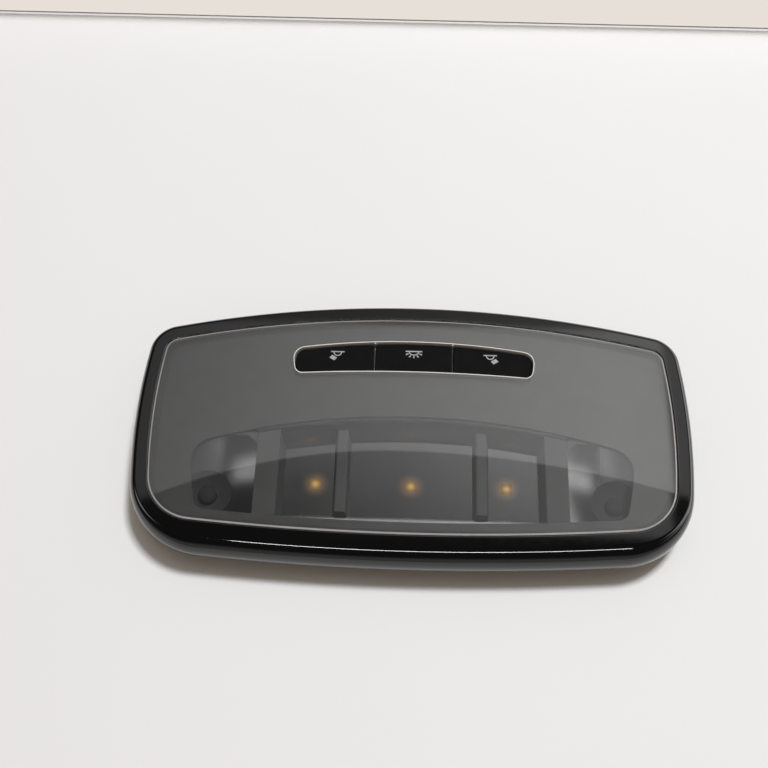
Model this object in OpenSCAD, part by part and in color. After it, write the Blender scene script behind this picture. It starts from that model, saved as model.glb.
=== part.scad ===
// Rear roof lamp of a car: a gloss bezel round a flush smoked lens, three keys in one arched slot,
// a dome light and two reading lights behind a half-moon window, and a spring-clipped housing.
// The lamp lies on its back: the lens faces +Z, the keys lie near the +Y edge, and the middle of
// the bezel stands over the origin.

/* [Bezel] */
// Width of the bezel over its widest line
bezel_w = 184.2; // [178:0.2:194]
// Depth of the bezel from its front to its back on the centre line
bezel_d = 92.6; // [88:0.2:98]
// Height of the bezel from its rim to its top face
bezel_h = 8; // [7.5:0.25:10]
// Width of the flat top face at the sides and back
face_w = 3.8; // [2.6:0.1:4.6]
// Width of the flat top face at the front
front_face_w = 4; // [2.6:0.1:4.6]
// Plan width of the rolled edge at the sides and back
roll_w = 2.5; // [1.5:0.1:3.5]
// Plan width of the rolled edge at the front
front_roll_w = 5.3; // [3:0.1:6]
// Height of the rolled edge
roll_h = 6; // [4:0.25:6.5]
// Thickness of the skirt at the rim
skirt_t = 1.6; // [1:0.1:2]
// Thickness of the wall that stands round the lens
rim_t = 1.2; // [0.8:0.1:1.6]
// Depth of that wall below the top face
rim_depth = 6; // [5:0.25:7]
// Width of the ledge that the lens sits on
ledge_w = 1.8; // [1.2:0.1:2.2]
// Thickness of the ledge
ledge_t = 1.4; // [1:0.1:1.6]
// Thickness of the top face over the hollow
face_t = 2; // [1.4:0.1:2.2]

/* [Opening] */
// Radius of the curved sides of the lens opening
side_r = 200; // [160:5:260]
// Radius of the curved back edge
back_r = 350; // [300:10:420]
// Radius of the curved front edge
front_r = 810; // [600:10:1000]
// Radius of the two corners at the back
back_corner_r = 5; // [4.5:0.5:8]
// Radius of the two corners at the front
front_corner_r = 16; // [12:0.5:20]

/* [Lens] */
// Height of the whole lamp
total_h = 19; // [18.5:0.25:22]
// Thickness of the lens
lens_t = 2.2; // [1.8:0.1:2.6]
// Width of the bevel round the lens
lens_bevel = 0.9; // [0.4:0.1:1.2]
// Depth of that bevel
lens_bevel_h = 0.6; // [0.2:0.1:0.9]
// Thickness of the mask panel under the lens
mask_t = 1.2; // [0.8:0.1:1.4]
// Width of the mask beside the window
window_side = 12; // [10:0.1:16]
// Distance between the key slot and the window's arched edge on the centre line
window_gap = 15.3; // [13:0.1:18]
// Radius of that arched edge
window_back_r = 230; // [200:5:280]
// Width of the mask's rim in front of the window
window_rim = 0.75; // [0.6:0.05:1.2]
// Radius of the window's corners at the back
window_corner_r = 20; // [14:0.5:22]
// Radius of the window's corners at the front
window_front_corner_r = 4; // [2:0.5:6]

/* [Keys] */
// Half of the width of the key slot
slot_hw = 40.7; // [38:0.1:42]
// Distance of the slot from the back of the lens opening
slot_inset = 8.25; // [7:0.05:9]
// Depth of the slot from front to back
slot_d = 11.85; // [11:0.05:12.5]
// Radius of the slot's back edge
slot_back_r = 235; // [210:5:260]
// Radius of the slot's front edge, which curves the same way
slot_front_r = 540; // [480:10:600]
// Radius of the slot's ends
slot_end_r = 20; // [16:1:26]
// Radius of the slot's corners at the back
slot_corner_r = 4.2; // [3.4:0.1:4.6]
// Radius of the slot's corners at the front
slot_front_corner_r = 2.8; // [2:0.1:3.2]
// Wall of the pale ring that lines the slot
ring_t = 0.35; // [0.3:0.05:0.6]
// Gap between the ring and the keys
key_gap = 0.45; // [0.3:0.05:0.6]
// Extra gap in front of the keys
key_front_gap = 0.3; // [0:0.05:0.5]
// Gap between two keys
key_split = 0.4; // [0.3:0.05:0.6]
// Place of the gaps between the keys
split_x = 13.15; // [12:0.05:14]
// Depth of the keys' tops below the lens
key_recess = 1.2; // [0.6:0.1:1.6]
// Travel of a key
key_travel = 0.8; // [0.5:0.1:1]
// Thickness of a key's top
key_top_t = 1.5; // [1.2:0.1:1.8]
// Thickness of a key's skirt
key_wall = 1; // [0.8:0.1:1.2]
// Height of a key's skirt under its top
key_skirt_h = 5.1; // [4.6:0.1:5.4]
// Reach of the lugs that hold a key in its well
lug_reach = 0.8; // [0.6:0.05:1]
// Height of a lug
lug_h = 0.8; // [0.6:0.1:1]
// Width of a lug
lug_w = 3; // [2:0.5:4]
// Distance of a lug from the middle of its key
lug_x = 3.6; // [3:0.1:4.5]
// Wall of the frame that guides the keys
guide_t = 1.6; // [1.2:0.1:2]
// Running gap round the lugs and beside the cross walls
guide_gap = 0.3; // [0.2:0.05:0.4]

/* [Switches] */
// Width of a switch body
switch_w = 6; // [5:0.1:6.4]
// Height of a switch body
switch_h = 3.5; // [3.1:0.1:3.8]
// Radius of a switch plunger
plunger_r = 1.6; // [1.2:0.1:2]
// Height of the plunger above its switch
plunger_out = 0.6; // [0.4:0.1:0.8]
// Depth of the plunger inside its switch
plunger_in = 1; // [0.6:0.1:1.2]
// Distance of a switch from the middle of its key
switch_offset = 7; // [6.7:0.1:7.4]
// Width of the light pipe under a pictogram
pipe_w = 5; // [4:0.1:5.6]
// Depth of that pipe from front to back
pipe_d = 4; // [3:0.1:5]
// Skin of the key over the pipe
pipe_skin = 0.55; // [0.4:0.05:0.8]
// Width of a small LED under a pipe
symbol_led_w = 1.6; // [1:0.1:2]
// Height of that LED
symbol_led_h = 0.6; // [0.4:0.1:0.8]

/* [Light box] */
// Half of the width of the dome light's chamber at its top
chamber_hw = 43.4; // [41:0.2:45]
// Distance that each side wall leans in towards its floor
chamber_lean = 1.6; // [1:0.2:4]
// Distance that the arched back wall leans in towards its floor
back_lean = 4.4; // [2:0.2:5]
// Width of the light box's rim that shows inside the window's arched edge
box_rim = 1.2; // [0.6:0.1:2]
// Width of the flange that the rim grows to under the mask
box_flange = 1.5; // [1:0.1:2.5]
// Width of the flat land on each side of the chamber
land_w = 7.4; // [6.4:0.1:8]
// Wall of the light box
box_wall = 1.2; // [1:0.1:1.6]
// Floor of the light box
box_floor = 0.8; // [0.6:0.1:1]
// Place of the two dividers
divider_x = 22.9; // [21:0.1:24]
// Width of a divider at its crest
divider_top_w = 3.4; // [2:0.1:4]
// Width of a divider at its foot
divider_foot_w = 5.4; // [4.6:0.1:7]
// Height of a divider over the floor
divider_h = 5.2; // [4:0.1:6]
// Reach of a divider's front end into the front ledge
divider_bite = 0.3; // [0.2:0.05:0.6]
// Height of the front ledge over the floor
front_ledge_h = 2.6; // [2:0.1:3.4]
// Width of the front ledge on the centre line
front_ledge_w = 5.2; // [4:0.1:6.5]
// Radius of the front ledge's edge
front_ledge_r = 1.3; // [0.6:0.1:1.6]
// Distance between the dome light's LEDs
led_pitch = 31.5; // [29:0.5:33]
// Distance of the dome LEDs from the front of the chamber
led_front = 16.6; // [14:0.1:19]
// Width of a dome LED
led_w = 3.5; // [3:0.1:5]
// Height of an LED's body
led_h = 0.7; // [0.5:0.1:1]
// Radius of an LED's phosphor
phosphor_r = 1.4; // [1:0.1:1.45]
// Height of the phosphor over the LED's body
phosphor_h = 0.25; // [0.1:0.05:0.4]
// Room round an LED in the light box's floor
led_room = 0.45; // [0.3:0.05:0.8]

/* [Reading lights] */
// Gap between the reflector's block and the side of the board
block_side_in = 4.7; // [4:0.1:6]
// Distance of a reading light from the outer side of the block
reading_side = 12; // [11:0.1:13]
// Distance of a reading light from the front of the block
reading_front = 9.7; // [9.5:0.1:12]
// Distance of a reading light from the back of the block
reading_behind = 20; // [18:0.1:21]
// Wall of the block round its open mouth
block_wall = 1.2; // [1:0.1:1.6]
// Radius of the deep bowl round the LED
bowl_r = 8; // [7:0.1:8.2]
// Depth of the deep bowl
bowl_depth = 3; // [2:0.1:3.6]
// Slope of the shallow dish where it meets the bowl
dish_slope = 0.18; // [0.12:0.01:0.24]
// Radius of the bowl's floor
bowl_floor_r = 3.6; // [3.2:0.1:4.5]
// Radius of the clear optic
optic_r = 3; // [2.6:0.1:3.1]
// Height of the optic
optic_h = 3.4; // [3.1:0.1:4.5]

/* [Board] */
// Underside of the board over the surface that the lamp lies on
board_z = 5; // [4.6:0.1:5.4]
// Thickness of the board
board_t = 1.6; // [1.2:0.1:1.8]
// Radius of a board screw's shank
screw_r = 1.25; // [1:0.05:1.5]
// Radius of a screw's head
screw_head_r = 2.4; // [2:0.1:2.6]
// Height of a screw's head
screw_head_h = 1.5; // [1.2:0.1:1.8]
// Radius of a boss
boss_r = 3; // [2.4:0.1:3.2]
// Skin of the housing's floor under a screw hole
boss_skin = 0.5; // [0.4:0.1:0.8]
// Distance of the front screws from the side of the board
front_screw_inset = 4.6; // [4.4:0.1:5.2]
// Place of the front screws from front to back
front_screw_y = -9; // [-14:0.5:0]
// Distance of the back screws from the side of the board
back_screw_inset = 10.2; // [8:0.1:13]
// Distance of the back screws from the back edge of the board
back_screw_depth = 5.7; // [5:0.1:9]
// Distance of the chip, the cans and the inductor behind the reading lights' blocks
electronics_gap = 7; // [6:0.5:9]
// Distance of the row of resistors behind the light box
resistor_gap = 6.5; // [4:0.5:8]

/* [Connector] */
// Gap between the connector and the keys' frame
plug_frame_gap = 1.3; // [1:0.1:3]
// Width of the cavity
plug_w = 12; // [11:0.1:14]
// Height of the cavity
plug_h = 4.6; // [4.3:0.1:4.8]
// Wall of the connector
plug_wall = 0.9; // [0.8:0.05:0.95]
// Depth of the cavity
plug_depth = 9; // [8:0.1:9.5]
// Distance of the connector's mouth inside the bezel's skirt
plug_inset = 0.6; // [0.4:0.1:1.5]
// Thickness of the wall that holds the pins
plug_back_t = 1.5; // [1:0.1:2]
// Width of a pin
pin_w = 0.64; // [0.5:0.02:0.8]
// Distance between two pins
pin_pitch = 2.5; // [2:0.1:2.6]
// Number of pins in a row
pin_count = 4; // [2:1:4]
// Reach of the pins into the cavity
pin_reach = 4.3; // [3:0.1:4.4]
// Length of a pin's tail on the board
pin_tail = 4; // [3:0.1:5]

/* [Housing] */
// Wall of the housing
wall_t = 1.8; // [1.4:0.1:2]
// Thickness of the housing's floor
floor_t = 1.6; // [1.2:0.1:1.7]
// Height of the ribs under the floor
rib_h = 1; // [0.6:0.1:1]
// Thickness of a rib
rib_t = 1.4; // [1:0.1:2]
// Distance between two ribs
rib_pitch = 24; // [18:1:30]
// Gap between the housing's wall and the bezel
wall_gap = 0.3; // [0.2:0.05:0.4]
// Width of a snap hook
hook_w = 8; // [6:0.5:10]
// Reach of a hook's nose
hook_reach = 1.2; // [0.8:0.1:1.6]
// Height of a hook's nose
hook_nose_h = 1.4; // [1:0.1:1.6]
// Length of a hook below the rim wall
hook_len = 5.8; // [5:0.1:6.2]
// Distance of the outer back hooks from the centre line
back_hook_x = 30; // [26:0.5:32]
// Distance of the outer front hooks from the side of the lens opening
front_hook_inset = 25.8; // [23:0.1:30]

/* [Clips] */
// Width of a spring clip
clip_w = 10; // [8:0.5:12]
// Thickness of the spring steel
clip_t = 0.4; // [0.3:0.05:0.5]
// Height of a clip's flat leg
clip_leg_h = 6.6; // [6:0.1:7]
// Lowest point of a clip
clip_z = 1.6; // [1.2:0.1:2.2]
// Radius of a clip's bend
clip_bend_r = 0.9; // [0.7:0.1:1.1]
// Reach of a clip's spring leg
clip_reach = 3.2; // [2.8:0.1:3.5]
// Distance of the front clips from the front of the lens opening
clip_front_in = 23; // [21:0.5:27]
// Distance of the back clips from the back of the lens opening
clip_back_in = 24; // [20:0.5:27]
// Radius of the nub that holds a clip
nub_r = 1.1; // [0.8:0.1:1.4]

/* [Hidden] */

// Steps of a long curve, a corner and a side
long_steps = 10;
corner_steps = 9;
side_steps = 6;
// Steps of the rolled edge
roll_steps = 7;
// Smoothness of round pieces
round_fn = 48;
// Overshoot of a cut past the face that it cuts
cut = 1;
// A length past every edge of the lamp
far = 200;
// Play of a piece that drops into its seat
seat_gap = 0.12;
// Play between the light box and what stands round it
box_gap = 0.5;

// Levels over the surface that the lamp lies on
rim_z = total_h - bezel_h;
lens_z = total_h - lens_t;
mask_z = lens_z - mask_t;
ledge_z = lens_z - ledge_t;
box_top = min(mask_z, ledge_z);
board_top = board_z + board_t;
floor_top = rib_h + floor_t;
box_floor_z = board_top + box_floor;
key_z = total_h - key_recess;
plate_z = key_z - key_top_t;
skirt_z = plate_z - key_skirt_h;
switch_top = board_top + switch_h;
plunger_top = switch_top + plunger_out;
ring_top = total_h - 0.1;

// Widest line of the lamp, and distance of the slot's widest line from the slot's back
widest_y = 0.7;
slot_widest_in = 6.35;

// An outline is a ring of tangent arcs, the same on both sides of the centre line:
// [half width, widest y, back y, front y, side r, back r, front r, back corner r, front corner r].
// A front radius below zero makes a front edge that curves in.
opening_o = [
    bezel_w / 2 - face_w - roll_w, widest_y,
    bezel_d / 2 - face_w - roll_w, -bezel_d / 2 + front_face_w + front_roll_w,
    side_r, back_r, front_r, back_corner_r, front_corner_r
];
flat_o = grow(opening_o, face_w, front_face_w);
wide_o = grow(flat_o, roll_w, front_roll_w);
wall_o = grow(opening_o, -wall_gap);
inside_o = grow(wall_o, -wall_t);
box_o = grow(inside_o, -box_gap);
skirt_o = grow(wide_o, -skirt_t);
chamber_o = grow(box_o, -box_wall);
mask_o = grow(opening_o, -ledge_w - 2 * seat_gap);
slot_back = opening_o[2] - slot_inset;
slot_front = slot_back - slot_d;
slot_o = [
    slot_hw, slot_back - slot_widest_in, slot_back, slot_front,
    slot_end_r, slot_back_r, -slot_front_r, slot_corner_r, slot_front_corner_r
];
window_back = slot_front - window_gap;
window_edges = [
    mask_o[0] - window_side, mask_o[1], window_back, mask_o[3] + window_rim,
    side_r, window_back_r, front_r
];
window_end_d = back_y(window_edges, window_edges[0]) - front_y(window_edges, window_edges[0]);
window_o = concat(window_edges, [
    min(window_corner_r, window_end_d - window_front_corner_r), window_front_corner_r
]);
ring_in_o = grow(slot_o, -ring_t);
key_o = grow(ring_in_o, -key_gap, -key_gap - key_front_gap);

// Middle of each key, and its sides
key_mid_x = (split_x + key_o[0]) / 2;
key_x = [-key_mid_x, 0, key_mid_x];
key_side = [[-far, -split_x], [-split_x, split_x], [split_x, far]];
switch_x = [-key_mid_x - switch_offset, switch_offset, key_mid_x + switch_offset];

// Places of the screws: [x, y] of the right front one and the right back one
front_screw = [box_o[0] - front_screw_inset, front_screw_y];
back_screw_x = box_o[0] - back_screw_inset;
back_screw = [back_screw_x, back_y(box_o, back_screw_x) - back_screw_depth];

// Light box, reading lights and the pieces behind them
chamber_back = window_back - box_rim;
chamber_end_r = 4;
chamber_top_o = [
    window_o[0], window_o[1], chamber_back, chamber_o[3],
    side_r, window_back_r, chamber_o[6], chamber_end_r, chamber_end_r
];
chamber_foot_o = [
    for (i = [0:len(chamber_top_o) - 1]) chamber_top_o[i] - (i == 2 ? back_lean : 0)
];
front_ledge_y = chamber_o[3] + front_ledge_w;
led_x = [-led_pitch, 0, led_pitch];
led_y = chamber_o[3] + led_front;
land_x = chamber_hw + land_w;
block_x = [land_x + seat_gap, box_o[0] - block_side_in];
reading_x = block_x[1] - reading_side;
reading_y = front_y(box_o, reading_x) + reading_front;
block_back = reading_y + reading_behind;
electronics_y = block_back + electronics_gap;

// Grows an outline by d, and by df at the front
function grow(o, d, df) = let (f = is_undef(df) ? d : df)
    [o[0] + d, o[1], o[2] + d, o[3] - f, o[4] + d, o[5] + d, o[6] + f, o[7] + d, o[8] + f];

function polar(c, r, a) = c + r * [cos(a), sin(a)];
function arc(c, r, a, b, n) = [for (i = [0:n - 1]) polar(c, r, a + (b - a) * i / n)];
function heading(v) = atan2(v[1], v[0]);

// Crossing of two circles that lies further to the right
function crossing(p, rp, q, rq) = let (
        d = norm(q - p),
        u = (q - p) / d,
        a = (rp * rp - rq * rq + d * d) / (2 * d),
        h = sqrt(rp * rp - a * a),
        m = p + a * u,
        s = [-u[1], u[0]] * h
    ) (m + s)[0] > (m - s)[0] ? m + s : m - s;

// Right half of an outline, from the middle of its back to the middle of its front
function half_outline(o) = let (
        back_c = [0, o[2] - o[5]],
        side_c = [o[0] - o[4], o[1]],
        front_c = [0, o[3] + o[6]],
        bc = crossing(back_c, abs(o[5] - o[7]), side_c, abs(o[4] - o[7])),
        fc = crossing(front_c, abs(o[6] - o[8]), side_c, abs(o[4] - o[8])),
        back_a = heading((bc - back_c) / (o[5] - o[7])),
        side_a = heading((bc - side_c) / (o[4] - o[7])),
        side_b = heading((fc - side_c) / (o[4] - o[8])),
        front_a = heading((fc - front_c) / (o[6] - o[8]))
    ) concat(
        arc(back_c, o[5], 90, back_a, long_steps),
        arc(bc, o[7], back_a, side_a, corner_steps),
        arc(side_c, o[4], side_a, side_b, side_steps),
        arc(fc, o[8], side_b, front_a, corner_steps),
        arc(front_c, o[6], front_a, -90, long_steps),
        [[0, o[3]]]
    );
function outline(o) = let (h = half_outline(o), n = len(h))
    concat(h, [for (i = [n - 2:-1:1]) [-h[i][0], h[i][1]]]);

// Back and front edge of an outline at a distance x from the centre line
function back_y(o, x) = o[2] - o[5] + sqrt(o[5] * o[5] - x * x);
function front_y(o, x) = o[3] + o[6] - sign(o[6]) * sqrt(o[6] * o[6] - x * x);
function side_x(o, y) = o[0] - o[4] + sqrt(o[4] * o[4] - (y - o[1]) * (y - o[1]));
function key_y(x) = (back_y(key_o, x) + front_y(key_o, x)) / 2;

// Rings of points between two outlines, and the faces that join one ring to the next
function ring(o, z) = [for (p = outline(o)) [p[0], p[1], z]];
function blend_ring(o, q, t, z) = let (a = outline(o), b = outline(q))
    [for (i = [0:len(a) - 1]) let (p = a[i] + (b[i] - a[i]) * t) [p[0], p[1], z]];
function ring_faces(a, b, n) = [
    for (i = [0:n - 1], k = [0, 1])
        let (j = (i + 1) % n)
        k == 0 ? [a * n + i, b * n + i, b * n + j] : [a * n + i, b * n + j, a * n + j]
];
function joined(list) = [for (part = list, item = part) item];

module slab(o, z, top) {
    translate([0, 0, z])
        linear_extrude(top - z)
            polygon(outline(o));
}

module block(x, y, z) {
    translate([x[0], y[0], z[0]])
        cube([x[1] - x[0], y[1] - y[0], z[1] - z[0]]);
}

// A block whose middle stands at a point
module standing_block(p, w, d, z) {
    block([p[0] - w / 2, p[0] + w / 2], [p[1] - d / 2, p[1] + d / 2], z);
}

// A solid that closes a row of rings on itself
module ring_solid(rings) {
    n = len(rings[0]);
    m = len(rings);
    polyhedron(
        points = joined(rings),
        faces = joined([for (k = [0:m - 1]) ring_faces(k, (k + 1) % m, n)])
    );
}

// A solid that closes a row of rings with a lid at each end
module capped_solid(rings) {
    n = len(rings[0]);
    m = len(rings);
    polyhedron(
        points = joined(rings),
        faces = concat(
            joined([for (k = [0:m - 2]) ring_faces(k, k + 1, n)]),
            [[for (i = [0:n - 1]) i]],
            [[for (i = [n - 1:-1:0]) (m - 1) * n + i]]
        )
    );
}

// Places of the snap hooks: [x, back or front]
front_hook_x = opening_o[0] - front_hook_inset;
hook_places = [
    for (side = [-1, 0, 1], back = [true, false])
        [side * (back ? back_hook_x : front_hook_x), back]
];
hook_z = total_h - rim_depth - hook_len;
nose_rise = 0.8;
nose_z = hook_z + nose_rise;

// A band between two outlines, cut to the width of a hook
module hook_band(place, inner, outer, w, z) {
    intersection() {
        difference() {
            slab(outer, z[0], z[1]);
            slab(inner, z[0] - cut, z[1] + cut);
        }
        block(
            [place[0] - w / 2, place[0] + w / 2],
            place[1] ? [0, far] : [-far, 0],
            [z[0] - cut, z[1] + cut]
        );
    }
}

// The bezel's section runs over the flat face, down the roll and the skirt, back under the face,
// down and up the wall round the lens, and over the ledge
module bezel_ring() {
    roof_z = total_h - face_t;
    roof_front_reach = 0.6;
    roof_o = grow(flat_o, 0, roof_front_reach);
    rim_o = grow(opening_o, rim_t);
    ledge_o = grow(opening_o, -ledge_w);
    rim_low = total_h - rim_depth;
    roll = [
        for (i = [0:roll_steps])
            let (a = 90 * i / roll_steps)
            blend_ring(flat_o, wide_o, sin(a), total_h - roll_h * (1 - cos(a)))
    ];
    ring_solid(concat(
        [ring(opening_o, total_h)],
        roll,
        [
            ring(wide_o, rim_z),
            ring(skirt_o, rim_z),
            ring(skirt_o, total_h - roll_h),
            ring(roof_o, roof_z),
            ring(rim_o, roof_z),
            ring(rim_o, rim_low),
            ring(opening_o, rim_low),
            ring(opening_o, ledge_z),
            ring(ledge_o, ledge_z),
            ring(ledge_o, lens_z),
            ring(opening_o, lens_z)
        ]
    ));
}

module bezel() {
    color([0.05, 0.05, 0.05])
        union() {
            bezel_ring();
            for (place = hook_places) {
                rim_o = grow(opening_o, rim_t);
                nose_o = grow(opening_o, -hook_reach);
                hook_band(place, opening_o, rim_o, hook_w, [hook_z, total_h - rim_depth]);
                hook_band(place, nose_o, rim_o, hook_w, [nose_z, nose_z + hook_nose_h]);
            }
        }
}

module cover_lens() {
    lens_o = grow(opening_o, -seat_gap);
    color([0.38, 0.38, 0.38, 0.8])
        difference() {
            capped_solid([
                ring(grow(lens_o, -lens_bevel), total_h),
                ring(lens_o, total_h - lens_bevel_h),
                ring(lens_o, lens_z)
            ]);
            slab(slot_o, lens_z - cut, total_h + cut);
        }
}

module mask_panel() {
    color([0.45, 0.45, 0.44])
        difference() {
            slab(mask_o, mask_z, lens_z);
            slab(window_o, mask_z - cut, lens_z + cut);
            slab(grow(slot_o, seat_gap), mask_z - cut, lens_z + cut);
        }
}

// Pale ring in the slot, with a nub at the back of each gap between two keys
module button_surround() {
    outer_o = grow(slot_o, -0.4 * seat_gap);
    nub_w = key_split;
    nub_o = grow(ring_in_o, -0.8 * key_gap);
    nub_top = ring_top - ring_t;
    color([0.8, 0.8, 0.78])
        union() {
            difference() {
                slab(outer_o, mask_z, ring_top);
                slab(ring_in_o, mask_z - cut, ring_top + cut);
            }
            for (x = [-split_x, split_x])
                intersection() {
                    difference() {
                        slab(outer_o, mask_z, nub_top);
                        slab(nub_o, mask_z - cut, ring_top);
                    }
                    block([x - nub_w / 2, x + nub_w / 2], [key_y(x), far], [mask_z, ring_top]);
                }
        }
}

// Space of one key between its two sides, taken from an outline
module key_cell(i, o, side_inset, z) {
    intersection() {
        slab(o, z[0], z[1]);
        block(
            [key_side[i][0] + side_inset, key_side[i][1] - side_inset],
            [-far, far],
            [z[0] - cut, z[1] + cut]
        );
    }
}

// Lugs of a key, or the windows that they travel in
module key_lugs(i, o, w, z) {
    intersection() {
        slab(o, z[0], z[1]);
        for (x = [key_x[i] - lug_x, key_x[i] + lug_x])
            block([x - w / 2, x + w / 2], [-far, far], [z[0] - cut, z[1] + cut]);
    }
}

module key(i) {
    split_inset = key_split / 2;
    skirt_inset = split_inset + key_wall;
    hollow_o = grow(key_o, -key_wall);
    p = [key_x[i], key_y(key_x[i])];
    s = [switch_x[i], key_y(switch_x[i])];
    color([0.08, 0.08, 0.08])
        union() {
            difference() {
                union() {
                    key_cell(i, key_o, split_inset, [plate_z, key_z]);
                    key_cell(i, key_o, skirt_inset, [skirt_z, plate_z]);
                    key_lugs(i, grow(key_o, lug_reach), lug_w, [skirt_z, skirt_z + lug_h]);
                }
                key_cell(i, hollow_o, skirt_inset + key_wall, [skirt_z - cut, plate_z]);
                standing_block(p, pipe_w, pipe_d, [plate_z - cut, key_z - pipe_skin]);
            }
            translate([s[0], s[1], plunger_top])
                cylinder(r = plunger_r, h = plate_z - plunger_top, $fn = round_fn);
        }
}

module button_left() { key(0); }
module button_centre() { key(1); }
module button_right() { key(2); }

module symbol_pipe(i) {
    color([0.85, 0.87, 0.88, 0.6])
        standing_block(
            [key_x[i], key_y(key_x[i])], pipe_w, pipe_d,
            [board_top + symbol_led_h + key_travel + guide_gap, key_z - pipe_skin]
        );
}

module symbol_pipe_left() { symbol_pipe(0); }
module symbol_pipe_centre() { symbol_pipe(1); }
module symbol_pipe_right() { symbol_pipe(2); }

module symbol_led(i) {
    color([0.9, 0.88, 0.7])
        standing_block(
            [key_x[i], key_y(key_x[i])], symbol_led_w, symbol_led_w / 2,
            [board_top, board_top + symbol_led_h]
        );
}

module symbol_led_left() { symbol_led(0); }
module symbol_led_centre() { symbol_led(1); }
module symbol_led_right() { symbol_led(2); }

module switch_plunger(i) {
    color([0.2, 0.2, 0.2])
        translate([switch_x[i], key_y(switch_x[i]), switch_top - plunger_in])
            cylinder(r = plunger_r, h = plunger_in + plunger_out, $fn = round_fn);
}

module switch_plunger_left() { switch_plunger(0); }
module switch_plunger_centre() { switch_plunger(1); }
module switch_plunger_right() { switch_plunger(2); }

module key_switch(i) {
    p = [switch_x[i], key_y(switch_x[i])];
    bore_z = switch_top - plunger_in - key_travel - guide_gap;
    color([0.12, 0.12, 0.13])
        difference() {
            standing_block(p, switch_w, switch_w, [board_top, switch_top]);
            translate([p[0], p[1], bore_z])
                cylinder(r = plunger_r + seat_gap, h = switch_top - bore_z + cut, $fn = round_fn);
        }
}

module switch_left() { key_switch(0); }
module switch_centre() { key_switch(1); }
module switch_right() { key_switch(2); }

// Frame round the keys: three wells, and a window in the wall at every lug
module button_guide() {
    cross_t = key_split + 2 * key_wall - 2 * guide_gap;
    window_z = [skirt_z - key_travel - guide_gap, skirt_z + lug_h + guide_gap];
    color([0.75, 0.75, 0.73])
        difference() {
            union() {
                difference() {
                    slab(grow(slot_o, guide_t), board_top, mask_z);
                    slab(ring_in_o, board_top - cut, mask_z + cut);
                }
                intersection() {
                    slab(grow(slot_o, guide_t / 2), board_top, plate_z - key_travel - guide_gap);
                    for (x = [-split_x, split_x])
                        block([x - cross_t / 2, x + cross_t / 2], [-far, far], [board_top, mask_z]);
                }
            }
            for (i = [0:2])
                key_lugs(i, grow(slot_o, guide_t + cut), lug_w + 2 * guide_gap, window_z);
        }
}

// A wedge that runs from front to back: narrow crest, wide foot
module ridge(x, foot_w, top_w, z, h) {
    translate([x, far, z])
        rotate([90, 0, 0])
            linear_extrude(2 * far)
                polygon([[-foot_w / 2, 0], [foot_w / 2, 0], [top_w / 2, h], [-top_w / 2, h]]);
}

// Hollow of the light box, or the box round it: the arched back leans in from the rim to the floor
module leaning_box(wall, top, foot) {
    top_o = grow(chamber_top_o, wall);
    foot_o = grow(chamber_foot_o, wall);
    capped_solid([
        ring(top_o, top),
        ring(top_o, box_top),
        ring(foot_o, box_floor_z),
        ring(foot_o, foot)
    ]);
}

// A bar from side to side with a rounded edge at its back
module rounded_ledge() {
    steps = 6;
    edge = [
        for (i = [0:steps])
            let (a = 90 * i / steps)
            [
                front_ledge_y - front_ledge_r * (1 - cos(a)),
                front_ledge_h - front_ledge_r * (1 - sin(a))
            ]
    ];
    translate([-far, 0, box_floor_z])
        rotate([90, 0, 90])
            linear_extrude(2 * far)
                polygon(concat([[-far, 0], [front_ledge_y, 0]], edge, [[-far, front_ledge_h]]));
}

// Light box of the dome light: side walls and an arched back that lean, two dividers, a front ledge
// with a rounded edge, and a land on each side that is hollow underneath
module dome_reflector() {
    floor_hw = chamber_hw - chamber_lean;
    chamber_h = box_top - box_floor_z;
    hollow_w = land_w - 2 * box_wall;
    color([0.7, 0.7, 0.68])
        difference() {
            union() {
                difference() {
                    intersection() {
                        union() {
                            leaning_box(box_wall, box_top + cut, board_top);
                            slab(grow(chamber_top_o, box_wall + box_flange, box_wall),
                                box_top - box_wall, box_top + cut);
                        }
                        block([-land_x, land_x], [-far, far], [0, box_top]);
                    }
                    intersection() {
                        leaning_box(0, box_top + cut, box_floor_z - cut);
                        ridge(0, 2 * floor_hw, 2 * (chamber_hw + chamber_lean),
                            box_floor_z, 2 * chamber_h);
                    }
                    for (side = [-1, 1])
                        intersection() {
                            leaning_box(0, box_top + cut, board_top - cut);
                            ridge(side * (land_x - land_w / 2), hollow_w, hollow_w,
                                board_top - cut, box_top - box_wall - board_top + cut);
                        }
                }
                intersection() {
                    leaning_box(box_wall / 2, box_top, board_top);
                    union() {
                        intersection() {
                            block([-chamber_hw, chamber_hw],
                                [front_ledge_y - divider_bite, far], [0, box_top]);
                            for (side = [-1, 1])
                                ridge(side * divider_x, divider_foot_w, divider_top_w,
                                    box_floor_z - box_floor / 2, divider_h + box_floor / 2);
                        }
                        intersection() {
                            rounded_ledge();
                            block([-chamber_hw, chamber_hw], [-far, far], [0, box_top]);
                        }
                    }
                }
            }
            for (x = led_x)
                standing_block([x, led_y], led_w + 2 * led_room, led_w + 2 * led_room,
                    [board_top - cut, box_floor_z + cut]);
        }
}

// An LED: a square body with a round phosphor on it
module led(x, y) {
    translate([x, y, board_top])
        union() {
            color([0.9, 0.9, 0.88])
                translate([-led_w / 2, -led_w / 2, 0])
                    cube([led_w, led_w, led_h]);
            color([0.95, 0.75, 0.2])
                cylinder(r = phosphor_r, h = led_h + phosphor_h, $fn = round_fn);
        }
}

module dome_led_left() { led(led_x[0], led_y); }
module dome_led_centre() { led(led_x[1], led_y); }
module dome_led_right() { led(led_x[2], led_y); }

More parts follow.
